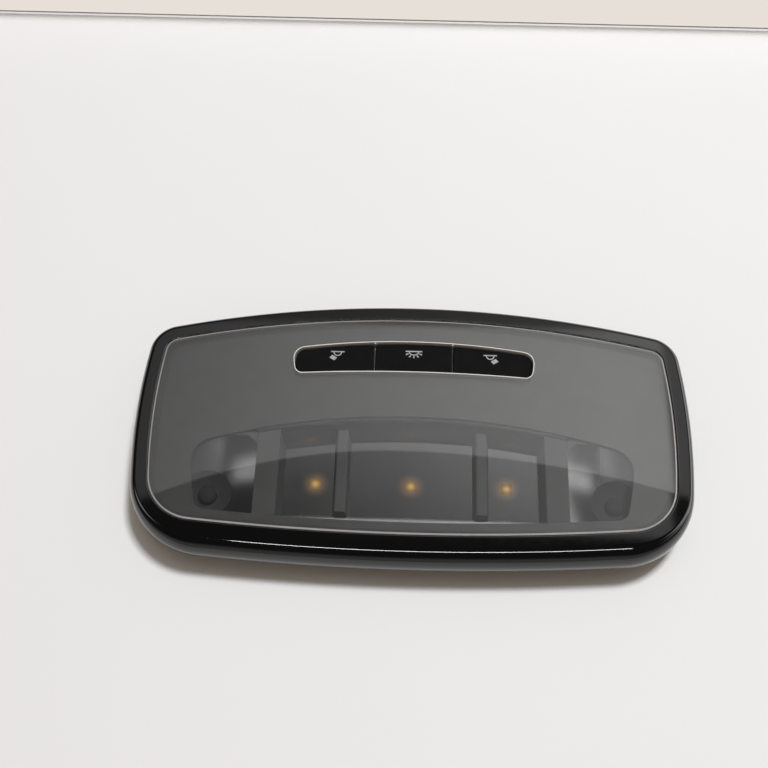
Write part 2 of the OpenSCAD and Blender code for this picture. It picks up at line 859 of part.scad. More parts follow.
// Hollow of a reading light: a deep bowl round the LED inside a wide shallow dish. Both are revolved
// parabolas, and the dish runs on past the mouth that cuts it
module reading_hollow() {
    steps = 8;
    dish_k = dish_slope / 2 / bowl_r;
    dish_r = sqrt(bowl_r * bowl_r + (box_top - box_floor_z - bowl_depth + cut) / dish_k);
    bowl = [
        for (i = [0:steps])
            let (r = bowl_floor_r + (bowl_r - bowl_floor_r) * i / steps)
            [r, bowl_depth * (r * r - bowl_floor_r * bowl_floor_r)
                / (bowl_r * bowl_r - bowl_floor_r * bowl_floor_r)]
    ];
    dish = [
        for (i = [1:steps])
            let (r = bowl_r + (dish_r - bowl_r) * i / steps)
            [r, bowl_depth + dish_k * (r * r - bowl_r * bowl_r)]
    ];
    rotate_extrude($fn = 2 * round_fn)
        polygon(concat([[0, 0]], bowl, dish, [[0, dish[steps - 1][1]]]));
}

// Block with a mouth that is open towards the light box, and a relief for the front screw
module reading_reflector(side) {
    relief_r = screw_head_r + box_gap;
    mouth_o = grow(box_o, -block_wall);
    mirror([side < 0 ? 1 : 0, 0, 0])
        color([0.7, 0.7, 0.68])
            difference() {
                intersection() {
                    slab(box_o, board_top, box_top);
                    block(block_x, [-far, block_back], [0, far]);
                }
                intersection() {
                    slab(mouth_o, box_floor_z - cut, box_top + cut);
                    difference() {
                        block([0, block_x[1] - block_wall], [-far, block_back - block_wall], [0, far]);
                        translate([front_screw[0], front_screw[1], 0])
                            cylinder(r = relief_r + block_wall, h = total_h, $fn = round_fn);
                    }
                    translate([reading_x, reading_y, box_floor_z])
                        reading_hollow();
                }
                translate([front_screw[0], front_screw[1], 0])
                    cylinder(r = relief_r, h = total_h, $fn = round_fn);
                translate([reading_x, reading_y, board_top - cut])
                    cylinder(r = led_w / sqrt(2) + led_room / 2, h = box_floor + 2 * cut, $fn = round_fn);
            }
}

module reading_reflector_left() { reading_reflector(-1); }
module reading_reflector_right() { reading_reflector(1); }

// Clear dome over a reading LED, hollow underneath
module reading_optic(side) {
    room = led_h + phosphor_h + board_top - box_floor_z + guide_gap;
    optic_t = 0.5;
    hollow_r = optic_r - optic_t;
    collar = optic_h / 2;
    dome = [
        for (i = [0:8])
            let (a = 90 * i / 8)
            [optic_r * cos(a), collar + (optic_h - collar) * sin(a)]
    ];
    color([0.85, 0.88, 0.9, 0.5])
        translate([side * reading_x, reading_y, box_floor_z])
            rotate_extrude($fn = round_fn)
                polygon(concat([[0, room], [hollow_r, room], [hollow_r, 0], [optic_r, 0]], dome));
}

module reading_optic_left() { reading_optic(-1); }
module reading_optic_right() { reading_optic(1); }
module reading_led_left() { led(-reading_x, reading_y); }
module reading_led_right() { led(reading_x, reading_y); }

screw_places = [
    for (p = [front_screw, back_screw], side = [-1, 1])
        [side * p[0], p[1]]
];
screw_hole_r = screw_r + 0.05;
plug_mid_z = board_z + board_t / 2;
plug_out_w = plug_w + 2 * plug_wall;
plug_out_h = plug_h + 2 * plug_wall;
plug_x = -slot_hw - guide_t - plug_frame_gap - plug_out_w / 2;
plug_mouth_y = back_y(skirt_o, plug_x - plug_out_w / 2) - plug_inset;
plug_back_y = plug_mouth_y - plug_depth;
plug_root_y = plug_back_y - plug_back_t;

module circuit_board() {
    color([0.1, 0.32, 0.16])
        difference() {
            slab(box_o, board_z, board_top);
            standing_block([plug_x, plug_root_y - guide_gap + far / 2],
                plug_out_w + 2 * guide_gap, far, [board_z - cut, board_top + cut]);
            for (p = screw_places)
                translate([p[0], p[1], board_z - cut])
                    cylinder(r = screw_hole_r, h = board_t + 2 * cut, $fn = round_fn);
        }
}

chip_w = 7;
chip_h = 1.1;
chip_at = [-reading_x, electronics_y];
lead_pitch = 0.8;
lead_w = 0.35;
lead_out = 1;

// Driver chip with a row of leads on two sides
module driver_chip() {
    lead_z = 0.25;
    union() {
        color([0.08, 0.08, 0.08])
            standing_block(chip_at, chip_w, chip_w, [board_top + lead_z / 2, board_top + chip_h]);
        color([0.75, 0.75, 0.75])
            for (k = [-3:3])
                standing_block([chip_at[0] + k * lead_pitch, chip_at[1]], lead_w,
                    chip_w + 2 * lead_out, [board_top, board_top + lead_z]);
    }
}

can_r = 3.1;
can_h = 5.4;
can_base_w = 6.6;
can_base_h = 0.7;
can_pitch = 9;

// Two aluminium cans, each on its plastic base
module capacitors() {
    for (k = [0, 1])
        translate([block_x[1] - box_gap - can_base_w / 2 - k * can_pitch, electronics_y, board_top])
            union() {
                color([0.1, 0.1, 0.1])
                    translate([-can_base_w / 2, -can_base_w / 2, 0])
                        cube([can_base_w, can_base_w, can_base_h]);
                color([0.75, 0.75, 0.77])
                    cylinder(r = can_r, h = can_h, $fn = round_fn);
            }
}

inductor_w = 7;
inductor_r = 3.3;
inductor_h = 3.2;
inductor_base_h = 1;
inductor_gap = 3;

// Shielded inductor of the LED supply
module power_inductor() {
    color([0.22, 0.22, 0.23])
        translate([chip_at[0] - chip_w / 2 - inductor_gap - inductor_w / 2, electronics_y, board_top])
            union() {
                translate([-inductor_w / 2, -inductor_w / 2, 0])
                    cube([inductor_w, inductor_w, inductor_base_h]);
                cylinder(r = inductor_r, h = inductor_h, $fn = round_fn);
            }
}

resistor_w = 2;
resistor_d = 1.25;
resistor_h = 0.55;
resistor_pitch = 3.4;
resistor_count = 12;

// A row of small resistors between the light box and the keys' frame
module resistors() {
    row_y = chamber_back + box_wall + resistor_gap;
    color([0.1, 0.1, 0.1])
        for (k = [0:resistor_count - 1])
            standing_block([(k - (resistor_count - 1) / 2) * resistor_pitch, row_y],
                resistor_w, resistor_d, [board_top, board_top + resistor_h]);
}

// Socket for the car's harness: a shroud that is open at the back, and a wall that holds the pins
module connector_housing() {
    color([0.07, 0.07, 0.07])
        difference() {
            block([plug_x - plug_out_w / 2, plug_x + plug_out_w / 2], [plug_root_y, plug_mouth_y],
                [plug_mid_z - plug_out_h / 2, plug_mid_z + plug_out_h / 2]);
            block([plug_x - plug_w / 2, plug_x + plug_w / 2], [plug_back_y, plug_mouth_y + cut],
                [plug_mid_z - plug_h / 2, plug_mid_z + plug_h / 2]);
            pins([plug_root_y - cut, plug_back_y + cut]);
        }
}

// Two rows of pins, one on each face of the board
module pins(y) {
    for (k = [0:pin_count - 1], z = [board_top, board_z - pin_w]) {
        x = plug_x + (k - (pin_count - 1) / 2) * pin_pitch;
        block([x - pin_w / 2, x + pin_w / 2], y, [z, z + pin_w]);
    }
}

module connector_pins() {
    color([0.8, 0.65, 0.35])
        pins([plug_root_y - pin_tail, plug_back_y + pin_reach]);
}

clip_front_y = opening_o[3] + clip_front_in;
clip_back_y = opening_o[2] - clip_back_in;
clip_places = [clip_front_y, clip_back_y];
clip_wall_x = min([for (y = clip_places, e = [-1, 1]) side_x(wall_o, y + e * clip_w / 2)]) - clip_t;

// Strip of constant thickness along a row of points
function strip(path, t) = let (
        n = len(path) - 1,
        way = [for (i = [0:n]) path[min(i + 1, n)] - path[max(i - 1, 0)]],
        off = [for (w = way) [-w[1], w[0]] * t / (2 * norm(w))]
    ) concat(
        [for (i = [0:n]) path[i] + off[i]],
        [for (i = [n:-1:0]) path[i] - off[i]]
    );

// A spring clip, seen from its end: a flat leg, a round bend and a bowed spring leg
clip_path = let (c = [clip_t / 2 + clip_bend_r, clip_z + clip_t / 2 + clip_bend_r]) concat(
    [[clip_t / 2, clip_z + clip_leg_h]],
    [for (i = [0:8]) polar(c, clip_bend_r, 180 + 180 * i / 8)],
    [
        [clip_reach - clip_t, clip_z + 0.5 * clip_leg_h],
        [clip_reach - 0.6 * clip_t, clip_z + 0.58 * clip_leg_h],
        [clip_reach - clip_t, clip_z + 0.66 * clip_leg_h],
        [clip_reach - 1.1, clip_z + 0.95 * clip_leg_h],
        [clip_reach - 0.8, clip_z + 1.08 * clip_leg_h]
    ]
);
nub_z = clip_z + 0.68 * clip_leg_h;

module spring_clip(side, y) {
    color([0.62, 0.63, 0.64])
        mirror([side < 0 ? 1 : 0, 0, 0])
            difference() {
                translate([clip_wall_x, y + clip_w / 2, 0])
                    rotate([90, 0, 0])
                        linear_extrude(clip_w)
                            polygon(strip(clip_path, clip_t));
                translate([clip_wall_x - cut, y, nub_z])
                    rotate([0, 90, 0])
                        cylinder(r = nub_r + seat_gap, h = clip_t + 2 * cut, $fn = round_fn);
            }
}

module spring_clip_left_front() { spring_clip(-1, clip_front_y); }
module spring_clip_left_back() { spring_clip(-1, clip_back_y); }
module spring_clip_right_front() { spring_clip(1, clip_front_y); }
module spring_clip_right_back() { spring_clip(1, clip_back_y); }

// Flat seats for the clips in the housing's side walls
module clip_seats() {
    for (side = [0, 1], y = clip_places)
        mirror([side, 0, 0])
            block([clip_wall_x, far], [y - clip_w / 2 - guide_gap, y + clip_w / 2 + guide_gap],
                [-cut, clip_z + clip_leg_h + guide_gap]);
}

module clip_nubs() {
    for (side = [0, 1], y = clip_places)
        mirror([side, 0, 0])
            translate([clip_wall_x - wall_t / 2, y, nub_z])
                rotate([0, 90, 0])
                    cylinder(r = nub_r, h = wall_t / 2 + clip_t, $fn = round_fn);
}

// Ribs under the floor, in both directions
module floor_ribs() {
    count = floor(wall_o[0] / rib_pitch);
    rows = floor(wall_o[2] / rib_pitch);
    intersection() {
        slab(grow(wall_o, -wall_t / 2), 0, rib_h + floor_t / 2);
        union() {
            for (k = [-count:count])
                standing_block([k * rib_pitch, 0], rib_t, far, [0, far]);
            for (k = [-rows:rows])
                standing_block([0, k * rib_pitch], far, rib_t, [0, far]);
        }
    }
}

module rear_housing() {
    socket_gap = seat_gap;
    color([0.13, 0.13, 0.14])
        union() {
            difference() {
                union() {
                    difference() {
                        slab(wall_o, 0, ledge_z);
                        slab(inside_o, floor_top, ledge_z + cut);
                        slab(inside_o, -cut, rib_h);
                    }
                    floor_ribs();
                    for (p = screw_places)
                        translate([p[0], p[1], rib_h])
                            cylinder(r = boss_r, h = board_z - rib_h, $fn = round_fn);
                }
                for (p = screw_places)
                    translate([p[0], p[1], rib_h + boss_skin])
                        cylinder(r = screw_hole_r, h = board_z, $fn = round_fn);
                for (place = hook_places)
                    hook_band(place, grow(inside_o, -cut), grow(wall_o, cut),
                        hook_w + 2 * guide_gap,
                        [nose_z - guide_gap, nose_z + hook_nose_h + guide_gap]);
                standing_block([plug_x, plug_root_y + far / 2],
                    plug_out_w + 2 * socket_gap, far,
                    [plug_mid_z - plug_out_h / 2 - socket_gap,
                        plug_mid_z + plug_out_h / 2 + socket_gap]);
                clip_seats();
            }
            clip_nubs();
        }
}

// A board screw: domed head with a cross recess, and a plain shank
module board_screw() {
    shank_h = board_top - rib_h - boss_skin - seat_gap;
    recess = 0.5 * screw_head_h;
    recess_l = 1.2 * screw_head_r;
    recess_w = 0.6;
    head_edge_h = 0.4;
    dome = [
        for (i = [0:6])
            let (a = 90 * i / 6)
            [screw_head_r * cos(a), head_edge_h + (screw_head_h - head_edge_h) * sin(a)]
    ];
    difference() {
        union() {
            rotate_extrude($fn = round_fn)
                polygon(concat([[0, 0], [screw_head_r, 0]], dome));
            translate([0, 0, -shank_h])
                cylinder(r = screw_r, h = shank_h, $fn = round_fn);
        }
        for (a = [0, 90])
            rotate([0, 0, a])
                translate([-recess_l / 2, -recess_w / 2, screw_head_h - recess])
                    cube([recess_l, recess_w, screw_head_h]);
    }
}

module board_screws() {
    color([0.7, 0.7, 0.7])
        for (p = screw_places)
            translate([p[0], p[1], board_top])
                board_screw();
}

bezel();
cover_lens();
mask_panel();
button_surround();
button_guide();
button_left();
button_centre();
button_right();
symbol_pipe_left();
symbol_pipe_centre();
symbol_pipe_right();
switch_plunger_left();
switch_plunger_centre();
switch_plunger_right();
switch_left();
switch_centre();
switch_right();
symbol_led_left();
symbol_led_centre();
symbol_led_right();
dome_reflector();
dome_led_left();
dome_led_centre();
dome_led_right();
reading_reflector_left();
reading_reflector_right();
reading_optic_left();
reading_optic_right();
reading_led_left();
reading_led_right();
circuit_board();
driver_chip();
capacitors();
power_inductor();
resistors();
connector_housing();
connector_pins();
rear_housing();
spring_clip_left_front();
spring_clip_left_back();
spring_clip_right_front();
spring_clip_right_back();
board_screws();
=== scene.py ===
# Looks of the roof lamp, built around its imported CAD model. Lengths here are millimetres and
# become metres where a mesh is made; the frame is the CAD one: lens up, keys towards +Y.
import math
from collections import namedtuple

import bmesh
import bpy
from mathutils import Matrix, Vector
from mathutils.geometry import tessellate_polygon

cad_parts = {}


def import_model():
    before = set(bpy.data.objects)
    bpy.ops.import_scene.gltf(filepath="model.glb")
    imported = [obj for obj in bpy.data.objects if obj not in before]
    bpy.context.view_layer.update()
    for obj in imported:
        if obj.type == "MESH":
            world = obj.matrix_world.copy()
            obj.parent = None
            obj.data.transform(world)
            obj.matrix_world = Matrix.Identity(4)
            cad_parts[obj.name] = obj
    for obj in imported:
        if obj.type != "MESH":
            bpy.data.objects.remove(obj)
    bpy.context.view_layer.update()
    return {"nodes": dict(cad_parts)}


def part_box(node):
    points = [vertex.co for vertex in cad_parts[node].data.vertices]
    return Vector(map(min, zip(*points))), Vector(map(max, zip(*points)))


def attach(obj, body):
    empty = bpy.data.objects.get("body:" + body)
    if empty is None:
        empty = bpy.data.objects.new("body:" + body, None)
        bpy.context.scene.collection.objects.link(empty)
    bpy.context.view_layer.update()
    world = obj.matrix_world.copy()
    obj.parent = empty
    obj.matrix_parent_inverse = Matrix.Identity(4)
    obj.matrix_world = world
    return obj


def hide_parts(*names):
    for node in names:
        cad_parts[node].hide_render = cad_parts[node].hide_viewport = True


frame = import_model()
nodes = frame["nodes"]

MM = 0.001
QUARTER = math.pi / 2

# Outlines
# An outline is a ring of tangent arcs, as in the CAD source. A negative front_r curves the front
# edge the same way as the back one.
Outline = namedtuple("Outline", ["half_w", "widest_y", "back_y", "front_y", "side_r", "back_r",
                                 "front_r", "back_corner_r", "front_corner_r"])
TOTAL_H = 19.0
OPENING = Outline(85.8, 0.7, 40.0, -37.0, 200.0, 350.0, 810.0, 5.0, 16.0)
SLOT = Outline(40.7, 25.4, 31.75, 19.9, 20.0, 235.0, -540.0, 4.2, 2.8)
WINDOW = Outline(72.6, 0.7, 4.6, -32.3, 120.0, 230.0, 810.0, 8.0, 4.0)
# Steps along the back and front arcs, the corners and the sides
FINE, SLOT_STEPS = (44, 22, 26), (30, 12, 10)


def grow(o, d, front_d=None):
    """The outline moved out by d, and by front_d at the front."""
    f = d if front_d is None else front_d
    return Outline(o.half_w + d, o.widest_y, o.back_y + d, o.front_y - f, o.side_r + d,
                   o.back_r + d, o.front_r + f, o.back_corner_r + d, o.front_corner_r + f)


def crossing(p, rp, q, rq):
    """The right-hand point where the circles round p and q cross."""
    d = math.hypot(q[0] - p[0], q[1] - p[1])
    ux, uy = (q[0] - p[0]) / d, (q[1] - p[1]) / d
    a = (rp * rp - rq * rq + d * d) / (2 * d)
    h = math.sqrt(rp * rp - a * a)
    m = (p[0] + a * ux, p[1] + a * uy)
    one = (m[0] - uy * h, m[1] + ux * h)
    two = (m[0] + uy * h, m[1] - ux * h)
    return one if one[0] > two[0] else two


def heading(p, c, r):
    return math.atan2((p[1] - c[1]) / r, (p[0] - c[0]) / r)


def arcs(o):
    """The five arcs of the right half: (centre, radius, start angle, end angle)."""
    back_c, front_c = (0, o.back_y - o.back_r), (0, o.front_y + o.front_r)
    side_c = (o.half_w - o.side_r, o.widest_y)
    bc = crossing(back_c, abs(o.back_r - o.back_corner_r), side_c, abs(o.side_r - o.back_corner_r))
    fc = crossing(front_c, abs(o.front_r - o.front_corner_r), side_c, abs(o.side_r - o.front_corner_r))
    back_a = heading(bc, back_c, o.back_r - o.back_corner_r)
    side_a = heading(bc, side_c, o.side_r - o.back_corner_r)
    side_b = heading(fc, side_c, o.side_r - o.front_corner_r)
    front_a = heading(fc, front_c, o.front_r - o.front_corner_r)
    return [
        (back_c, o.back_r, QUARTER, back_a),
        (bc, o.back_corner_r, back_a, side_a),
        (side_c, o.side_r, side_a, side_b),
        (fc, o.front_corner_r, side_b, front_a),
        (front_c, o.front_r, front_a, -QUARTER),
    ]


def arc_points(arc, n, last=False):
    (cx, cy), r, a, b = arc
    return [
        (cx + r * math.cos(a + (b - a) * i / n), cy + r * math.sin(a + (b - a) * i / n))
        for i in range(n + 1 if last else n)
    ]


def outline(o, steps=FINE):
    """The whole ring of points, clockwise from the middle of the back."""
    long_n, corner_n, side_n = steps
    half = []
    for arc, n in zip(arcs(o), (long_n, corner_n, side_n, corner_n, long_n)):
        half += arc_points(arc, n)
    half.append((0.0, o.front_y))
    return half + [(-x, y) for x, y in half[-2:0:-1]]


def back_edge(o, x):
    return o.back_y - o.back_r + math.sqrt(o.back_r ** 2 - x * x)


def front_edge(o, x):
    return o.front_y + o.front_r - math.copysign(1, o.front_r) * math.sqrt(o.front_r ** 2 - x * x)


def at(points, z):
    return [(x, y, z) for x, y in points]


def blend_ring(p, q, t, z):
    return [(a[0] + (b[0] - a[0]) * t, a[1] + (b[1] - a[1]) * t, z) for a, b in zip(p, q)]


def spread(a, b, n):
    return [a + (b - a) * k / n for k in range(n + 1)]


# Meshes
class Shell:
    """Points and faces of one piece, gathered from lofts, sheets and prisms."""

    def __init__(self):
        self.points, self.faces, self.kinds = [], [], []

    def add_ring(self, ring):
        start = len(self.points)
        self.points += ring
        return start

    def loft(self, rings, closed=False, kind=0, kinds=None):
        n = len(rings[0])
        starts = [self.add_ring(r) for r in rings]
        pairs = list(zip(starts, starts[1:])) + ([(starts[-1], starts[0])] if closed else [])
        for k, (a, b) in enumerate(pairs):
            for i in range(n):
                j = (i + 1) % n
                self.faces.append((a + i, b + i, b + j, a + j))
                self.kinds.append(kinds[k] if kinds else kind)
        return starts[0], starts[-1], n

    def cap(self, start, n, up, kind=0):
        ids = list(range(start, start + n))
        self.faces.append(tuple(reversed(ids)) if up else tuple(ids))
        self.kinds.append(kind)

    def solid(self, rings, kind=0):
        """Rings run clockwise seen from above, from the top one to the bottom one."""
        first, last, n = self.loft(rings, kind=kind)
        self.cap(first, n, True, kind)
        self.cap(last, n, False, kind)

    def sweep(self, sections, kind=0):
        """A solid along a row of closed sections, with a lid at both ends."""
        n = len(sections[0])
        starts = [self.add_ring(r) for r in sections]
        for a, b in zip(starts, starts[1:]):
            for i in range(n):
                j = (i + 1) % n
                self.faces.append((a + i, a + j, b + j, b + i))
                self.kinds.append(kind)
        self.faces.append(tuple(reversed(range(starts[0], starts[0] + n))))
        self.faces.append(tuple(range(starts[-1], starts[-1] + n)))
        self.kinds += [kind, kind]

    def sheet(self, loops, z, up, kind=0):
        """A flat face with holes, on loops of points that the lofts share by place."""
        start = len(self.points)
        flat = [p for loop in loops for p in loop]
        self.points += at(flat, z)
        for a, b, c in tessellate_polygon([[Vector((x, y, 0)) for x, y in loop] for loop in loops]):
            (ax, ay), (bx, by), (cx, cy) = flat[a], flat[b], flat[c]
            turn = (bx - ax) * (cy - ay) - (by - ay) * (cx - ax)
            if abs(turn) < 1e-9:
                continue
            tri = (a, b, c) if (turn > 0) == up else (a, c, b)
            self.faces.append(tuple(start + i for i in tri))
            self.kinds.append(kind)

    def prism(self, points, z0, z1):
        area = sum(p[0] * q[1] - q[0] * p[1] for p, q in zip(points, points[1:] + points[:1]))
        loop = list(reversed(points)) if area > 0 else list(points)
        self.solid([at(loop, z1), at(loop, z0)])

    def make(self, name, materials, sharp=35.0):
        """The piece as a mesh object; a face's kind is the number of its material."""
        mesh = bpy.data.meshes.new(name)
        mesh.from_pydata([(x * MM, y * MM, z * MM) for x, y, z in self.points], [], self.faces)
        for polygon, kind in zip(mesh.polygons, self.kinds):
            polygon.material_index = kind
            polygon.use_smooth = True
        for item in materials:
            mesh.materials.append(item)
        piece = bpy.data.objects.new(name, mesh)
        bpy.context.scene.collection.objects.link(piece)
        merge(mesh)
        mesh.set_sharp_from_angle(angle=math.radians(sharp))
        return piece


def merge(mesh):
    bm = bmesh.new()
    bm.from_mesh(mesh)
    bmesh.ops.remove_doubles(bm, verts=bm.verts, dist=2e-7)
    bm.to_mesh(mesh)
    bm.free()


# Shader helpers
BROAD = 14.0


def material(name, color, rough=0.5, metal=0.0, specular=0.5, alpha=1.0, ior=1.5):
    m = bpy.data.materials.new(name)
    m.use_nodes = True
    s = shader(m)
    s.inputs["Base Color"].default_value = (*color, 1.0)
    s.inputs["Roughness"].default_value = rough
    s.inputs["Metallic"].default_value = metal
    s.inputs["Specular IOR Level"].default_value = specular
    s.inputs["Alpha"].default_value = alpha
    s.inputs["IOR"].default_value = ior
    return m


def shader(m):
    return m.node_tree.nodes["Principled BSDF"]


def node(m, kind, **values):
    n = m.node_tree.nodes.new(kind)
    for key, value in values.items():
        if hasattr(n, key):
            setattr(n, key, value)
        else:
            n.inputs[key.replace("_", " ")].default_value = value
    return n


def link(m, a, b):
    m.node_tree.links.new(a, b)


def object_point(m):
    return node(m, "ShaderNodeTexCoord").outputs["Object"]


def object_axes(m):
    split = node(m, "ShaderNodeSeparateXYZ")
    link(m, object_point(m), split.inputs[0])
    return split.outputs


def math_node(m, operation, value, *constants):
    """One math node on a value; the constants fill its other inputs."""
    n = node(m, "ShaderNodeMath", operation=operation)
    link(m, value, n.inputs[0])
    for socket, constant in zip(n.inputs[1:], constants):
        socket.default_value = constant
    return n.outputs[0]


def share_of_radius(m, vector, radius):
    """Length of a vector over the given radius."""
    length = node(m, "ShaderNodeVectorMath", operation="LENGTH")
    link(m, vector, length.inputs[0])
    return math_node(m, "MULTIPLY", length.outputs["Value"], 1 / radius)


def noise(m, scale):
    """Noise whose grain is counted per millimetre of the object."""
    mapping = node(m, "ShaderNodeMapping")
    mapping.inputs["Scale"].default_value = (scale / MM,) * 3
    link(m, object_point(m), mapping.inputs["Vector"])
    n = node(m, "ShaderNodeTexNoise", Detail=3.0, Roughness=0.5, Scale=1.0)
    link(m, mapping.outputs["Vector"], n.inputs["Vector"])
    return n.outputs["Fac"]


def ramp(m, value, stops):
    n = node(m, "ShaderNodeValToRGB")
    e = n.color_ramp.elements
    while len(e) < len(stops):
        e.new(0.5)
    for item, (pos, color) in zip(e, stops):
        item.position = pos
        item.color = (*color, 1.0)
    link(m, value, n.inputs["Fac"])
    return n.outputs["Color"]


def roughness(m, value, low, high, lo_pos=0.3, hi_pos=0.7):
    n = node(m, "ShaderNodeMapRange")
    for key, v in zip(("From Min", "From Max", "To Min", "To Max"), (lo_pos, hi_pos, low, high)):
        n.inputs[key].default_value = v
    link(m, value, n.inputs["Value"])
    link(m, n.outputs["Result"], shader(m).inputs["Roughness"])


def bump(m, height, strength, distance):
    n = node(m, "ShaderNodeBump")
    n.inputs["Strength"].default_value = strength
    n.inputs["Distance"].default_value = distance * MM
    link(m, height, n.inputs["Height"])
    link(m, n.outputs["Normal"], shader(m).inputs["Normal"])


def grained(name, low, high, rough, grain, strength=0.0, distance=0.0, **more):
    """A moulded or painted surface: two close tones, a rough range and a fine relief."""
    m = material(name, high, rough[0], **more)
    fine = noise(m, grain)
    tones = ramp(m, noise(m, grain / BROAD), [(0.3, low), (0.7, high)])
    link(m, tones, shader(m).inputs["Base Color"])
    roughness(m, fine, *rough)
    if strength:
        bump(m, fine, strength, distance)
    return m


def grey(v):
    return (v, v, v)


def metallised(name, low, high):
    """The bright coat inside a reflector."""
    return grained(name, low, high, (0.16, 0.22), 1.2, 0.05, 0.01, metal=1.0)


# Materials
bezel_black = grained("bezel_gloss", (0.0014, 0.0014, 0.0013), (0.0020, 0.0019, 0.0018),
                      (0.03, 0.05), 0.5, specular=0.75)
lens_smoke = grained("smoked_lens", (0.020, 0.021, 0.021), (0.025, 0.025, 0.025),
                     (0.012, 0.018), 3.0, specular=1.0, alpha=0.36, ior=2.0)
lens_under = material("smoked_lens_under", grey(0.03), 0.3, specular=0.0, alpha=0.2)
# The lens's bevelled edge is the same smoked plastic; its pale tone is a painted glow of the light that
# the edge carries.
lens_edge_glow = grained("smoked_lens_edge", (0.48, 0.47, 0.455), (0.60, 0.59, 0.57),
                    (0.25, 0.35), 1.5, specular=1.0, alpha=0.85)
mask_grey = grained("mask_grey", (0.43, 0.426, 0.417), (0.47, 0.465, 0.455),
                    (0.36, 0.44), 2.2, 0.12, 0.02, metal=0.92)
print_grey = grained("print_grey", (0.25, 0.247, 0.241), (0.28, 0.277, 0.271),
                     (0.36, 0.44), 2.2, metal=0.92)
ring_pale = grained("ring_pale", (0.72, 0.71, 0.69), (0.8, 0.79, 0.77), (0.3, 0.4), 2.0)
guide_pale = grained("guide_pale", grey(0.5), grey(0.56), (0.5, 0.6), 2.0, 0.1, 0.02)
key_black = grained("key_black", (0.0042, 0.0042, 0.0042), (0.0056, 0.0055, 0.0054),
                    (0.38, 0.46), 5.0, 0.25, 0.01, specular=0.13)
symbol_white = grained("symbol_print", grey(0.42), grey(0.49), (0.5, 0.6), 3.0)
clear_plastic = grained("clear_plastic", (0.8, 0.82, 0.83), (0.86, 0.88, 0.9),
                        (0.05, 0.1), 2.0, alpha=0.35)
switch_black = grained("switch_black", grey(0.02), grey(0.03), (0.45, 0.55), 3.0, 0.1, 0.01)
plunger_grey = grained("plunger_grey", grey(0.16), grey(0.2), (0.4, 0.5), 3.0, 0.1, 0.01)
box_metal = metallised("box_metal", grey(0.40), grey(0.46))
dish_metal = metallised("dish_metal", grey(0.40), grey(0.46))
# A darker copy of the reflector coat for the back wall: painted shade under the window's back edge.
back_metal_shaded = metallised("back_metal_shaded", (0.26, 0.26, 0.265), (0.30, 0.30, 0.305))
land_grey = grained("land_grey", (0.17, 0.17, 0.168), (0.20, 0.20, 0.197),
                    (0.4, 0.5), 1.6, 0.08, 0.02)
# The reading bowls belong to the metallised reflector; their dark grey is a painted dark reflection.
bowl_painted_dark = grained("bowl_painted_dark", grey(0.10), grey(0.12), (0.5, 0.6), 1.6, 0.08, 0.02, specular=0.2)
# The dome optic is clear; its dark grey matches the bowl's painted dark reflection.
optic_painted_dark = grained("optic_painted_dark", grey(0.10), grey(0.12), (0.6, 0.7), 2.0, specular=0.0, alpha=0.6)
# A brighter copy of the reflector coat: the ledge edge's real highlight, made stronger by painted
# highlight.
ledge_highlight = grained("ledge_highlight", (0.80, 0.82, 0.85), (0.86, 0.88, 0.91),
                       (0.10, 0.14), 1.2, metal=1.0)
chip_black = grained("chip_black", grey(0.015), grey(0.022), (0.5, 0.6), 4.0, 0.1, 0.01)
can_metal = grained("can_metal", grey(0.6), grey(0.7), (0.25, 0.35), 2.0, metal=1.0)
inductor_grey = grained("inductor_grey", grey(0.09), grey(0.12), (0.5, 0.6), 3.0, 0.1, 0.02)
housing_black = grained("housing_black", (0.018, 0.018, 0.019), (0.028, 0.028, 0.029),
                        (0.42, 0.55), 2.6, 0.35, 0.04)
pin_gold = grained("pin_gold", (0.65, 0.5, 0.22), (0.8, 0.62, 0.3), (0.2, 0.3), 2.0, metal=1.0)
spring_steel = grained("spring_steel", (0.48, 0.49, 0.5), (0.6, 0.61, 0.62),
                       (0.25, 0.35), 1.0, 0.1, 0.01, metal=1.0)
board_green = grained("board_green", (0.015, 0.09, 0.035), (0.03, 0.15, 0.06),
                      (0.3, 0.4), 0.8, 0.1, 0.02)

LED_PITCH, LED_Y = 31.5, -16.6
LED_X = (-LED_PITCH, 0.0, LED_PITCH)
GLOW_R, PHOSPHOR_R, DOME_PAINTED_GLOW = 5.0, 4.0, 0.88
SATIN_FROM, SATIN_TO = 60.5, 69.0


def satin_outer_end(m):
    """The dish grows from bright to satin towards the lamp's end."""
    aside = math_node(m, "ABSOLUTE", object_axes(m)["X"])
    roughness(m, aside, 0.18, 0.75, SATIN_FROM * MM, SATIN_TO * MM)


def glow_round_leds(m):
    """Painted warm light of the phosphors: emission on the floor beside them."""
    axes = object_axes(m)
    flat = node(m, "ShaderNodeCombineXYZ")
    half_pitch = LED_PITCH / 2 * MM
    link(m, math_node(m, "WRAP", axes["X"], half_pitch, -half_pitch), flat.inputs[0])
    link(m, math_node(m, "ADD", axes["Y"], -LED_Y * MM), flat.inputs[1])
    stops = [(0.35, (0.27, 0.15, 0.048)), (0.52, (0.13, 0.07, 0.023)),
             (0.75, (0.042, 0.023, 0.008)), (0.98, (0.0, 0.0, 0.0))]
    share = share_of_radius(m, flat.outputs[0], GLOW_R * MM)
    link(m, ramp(m, share, stops), shader(m).inputs["Emission Color"])
    shader(m).inputs["Emission Strength"].default_value = 1.0


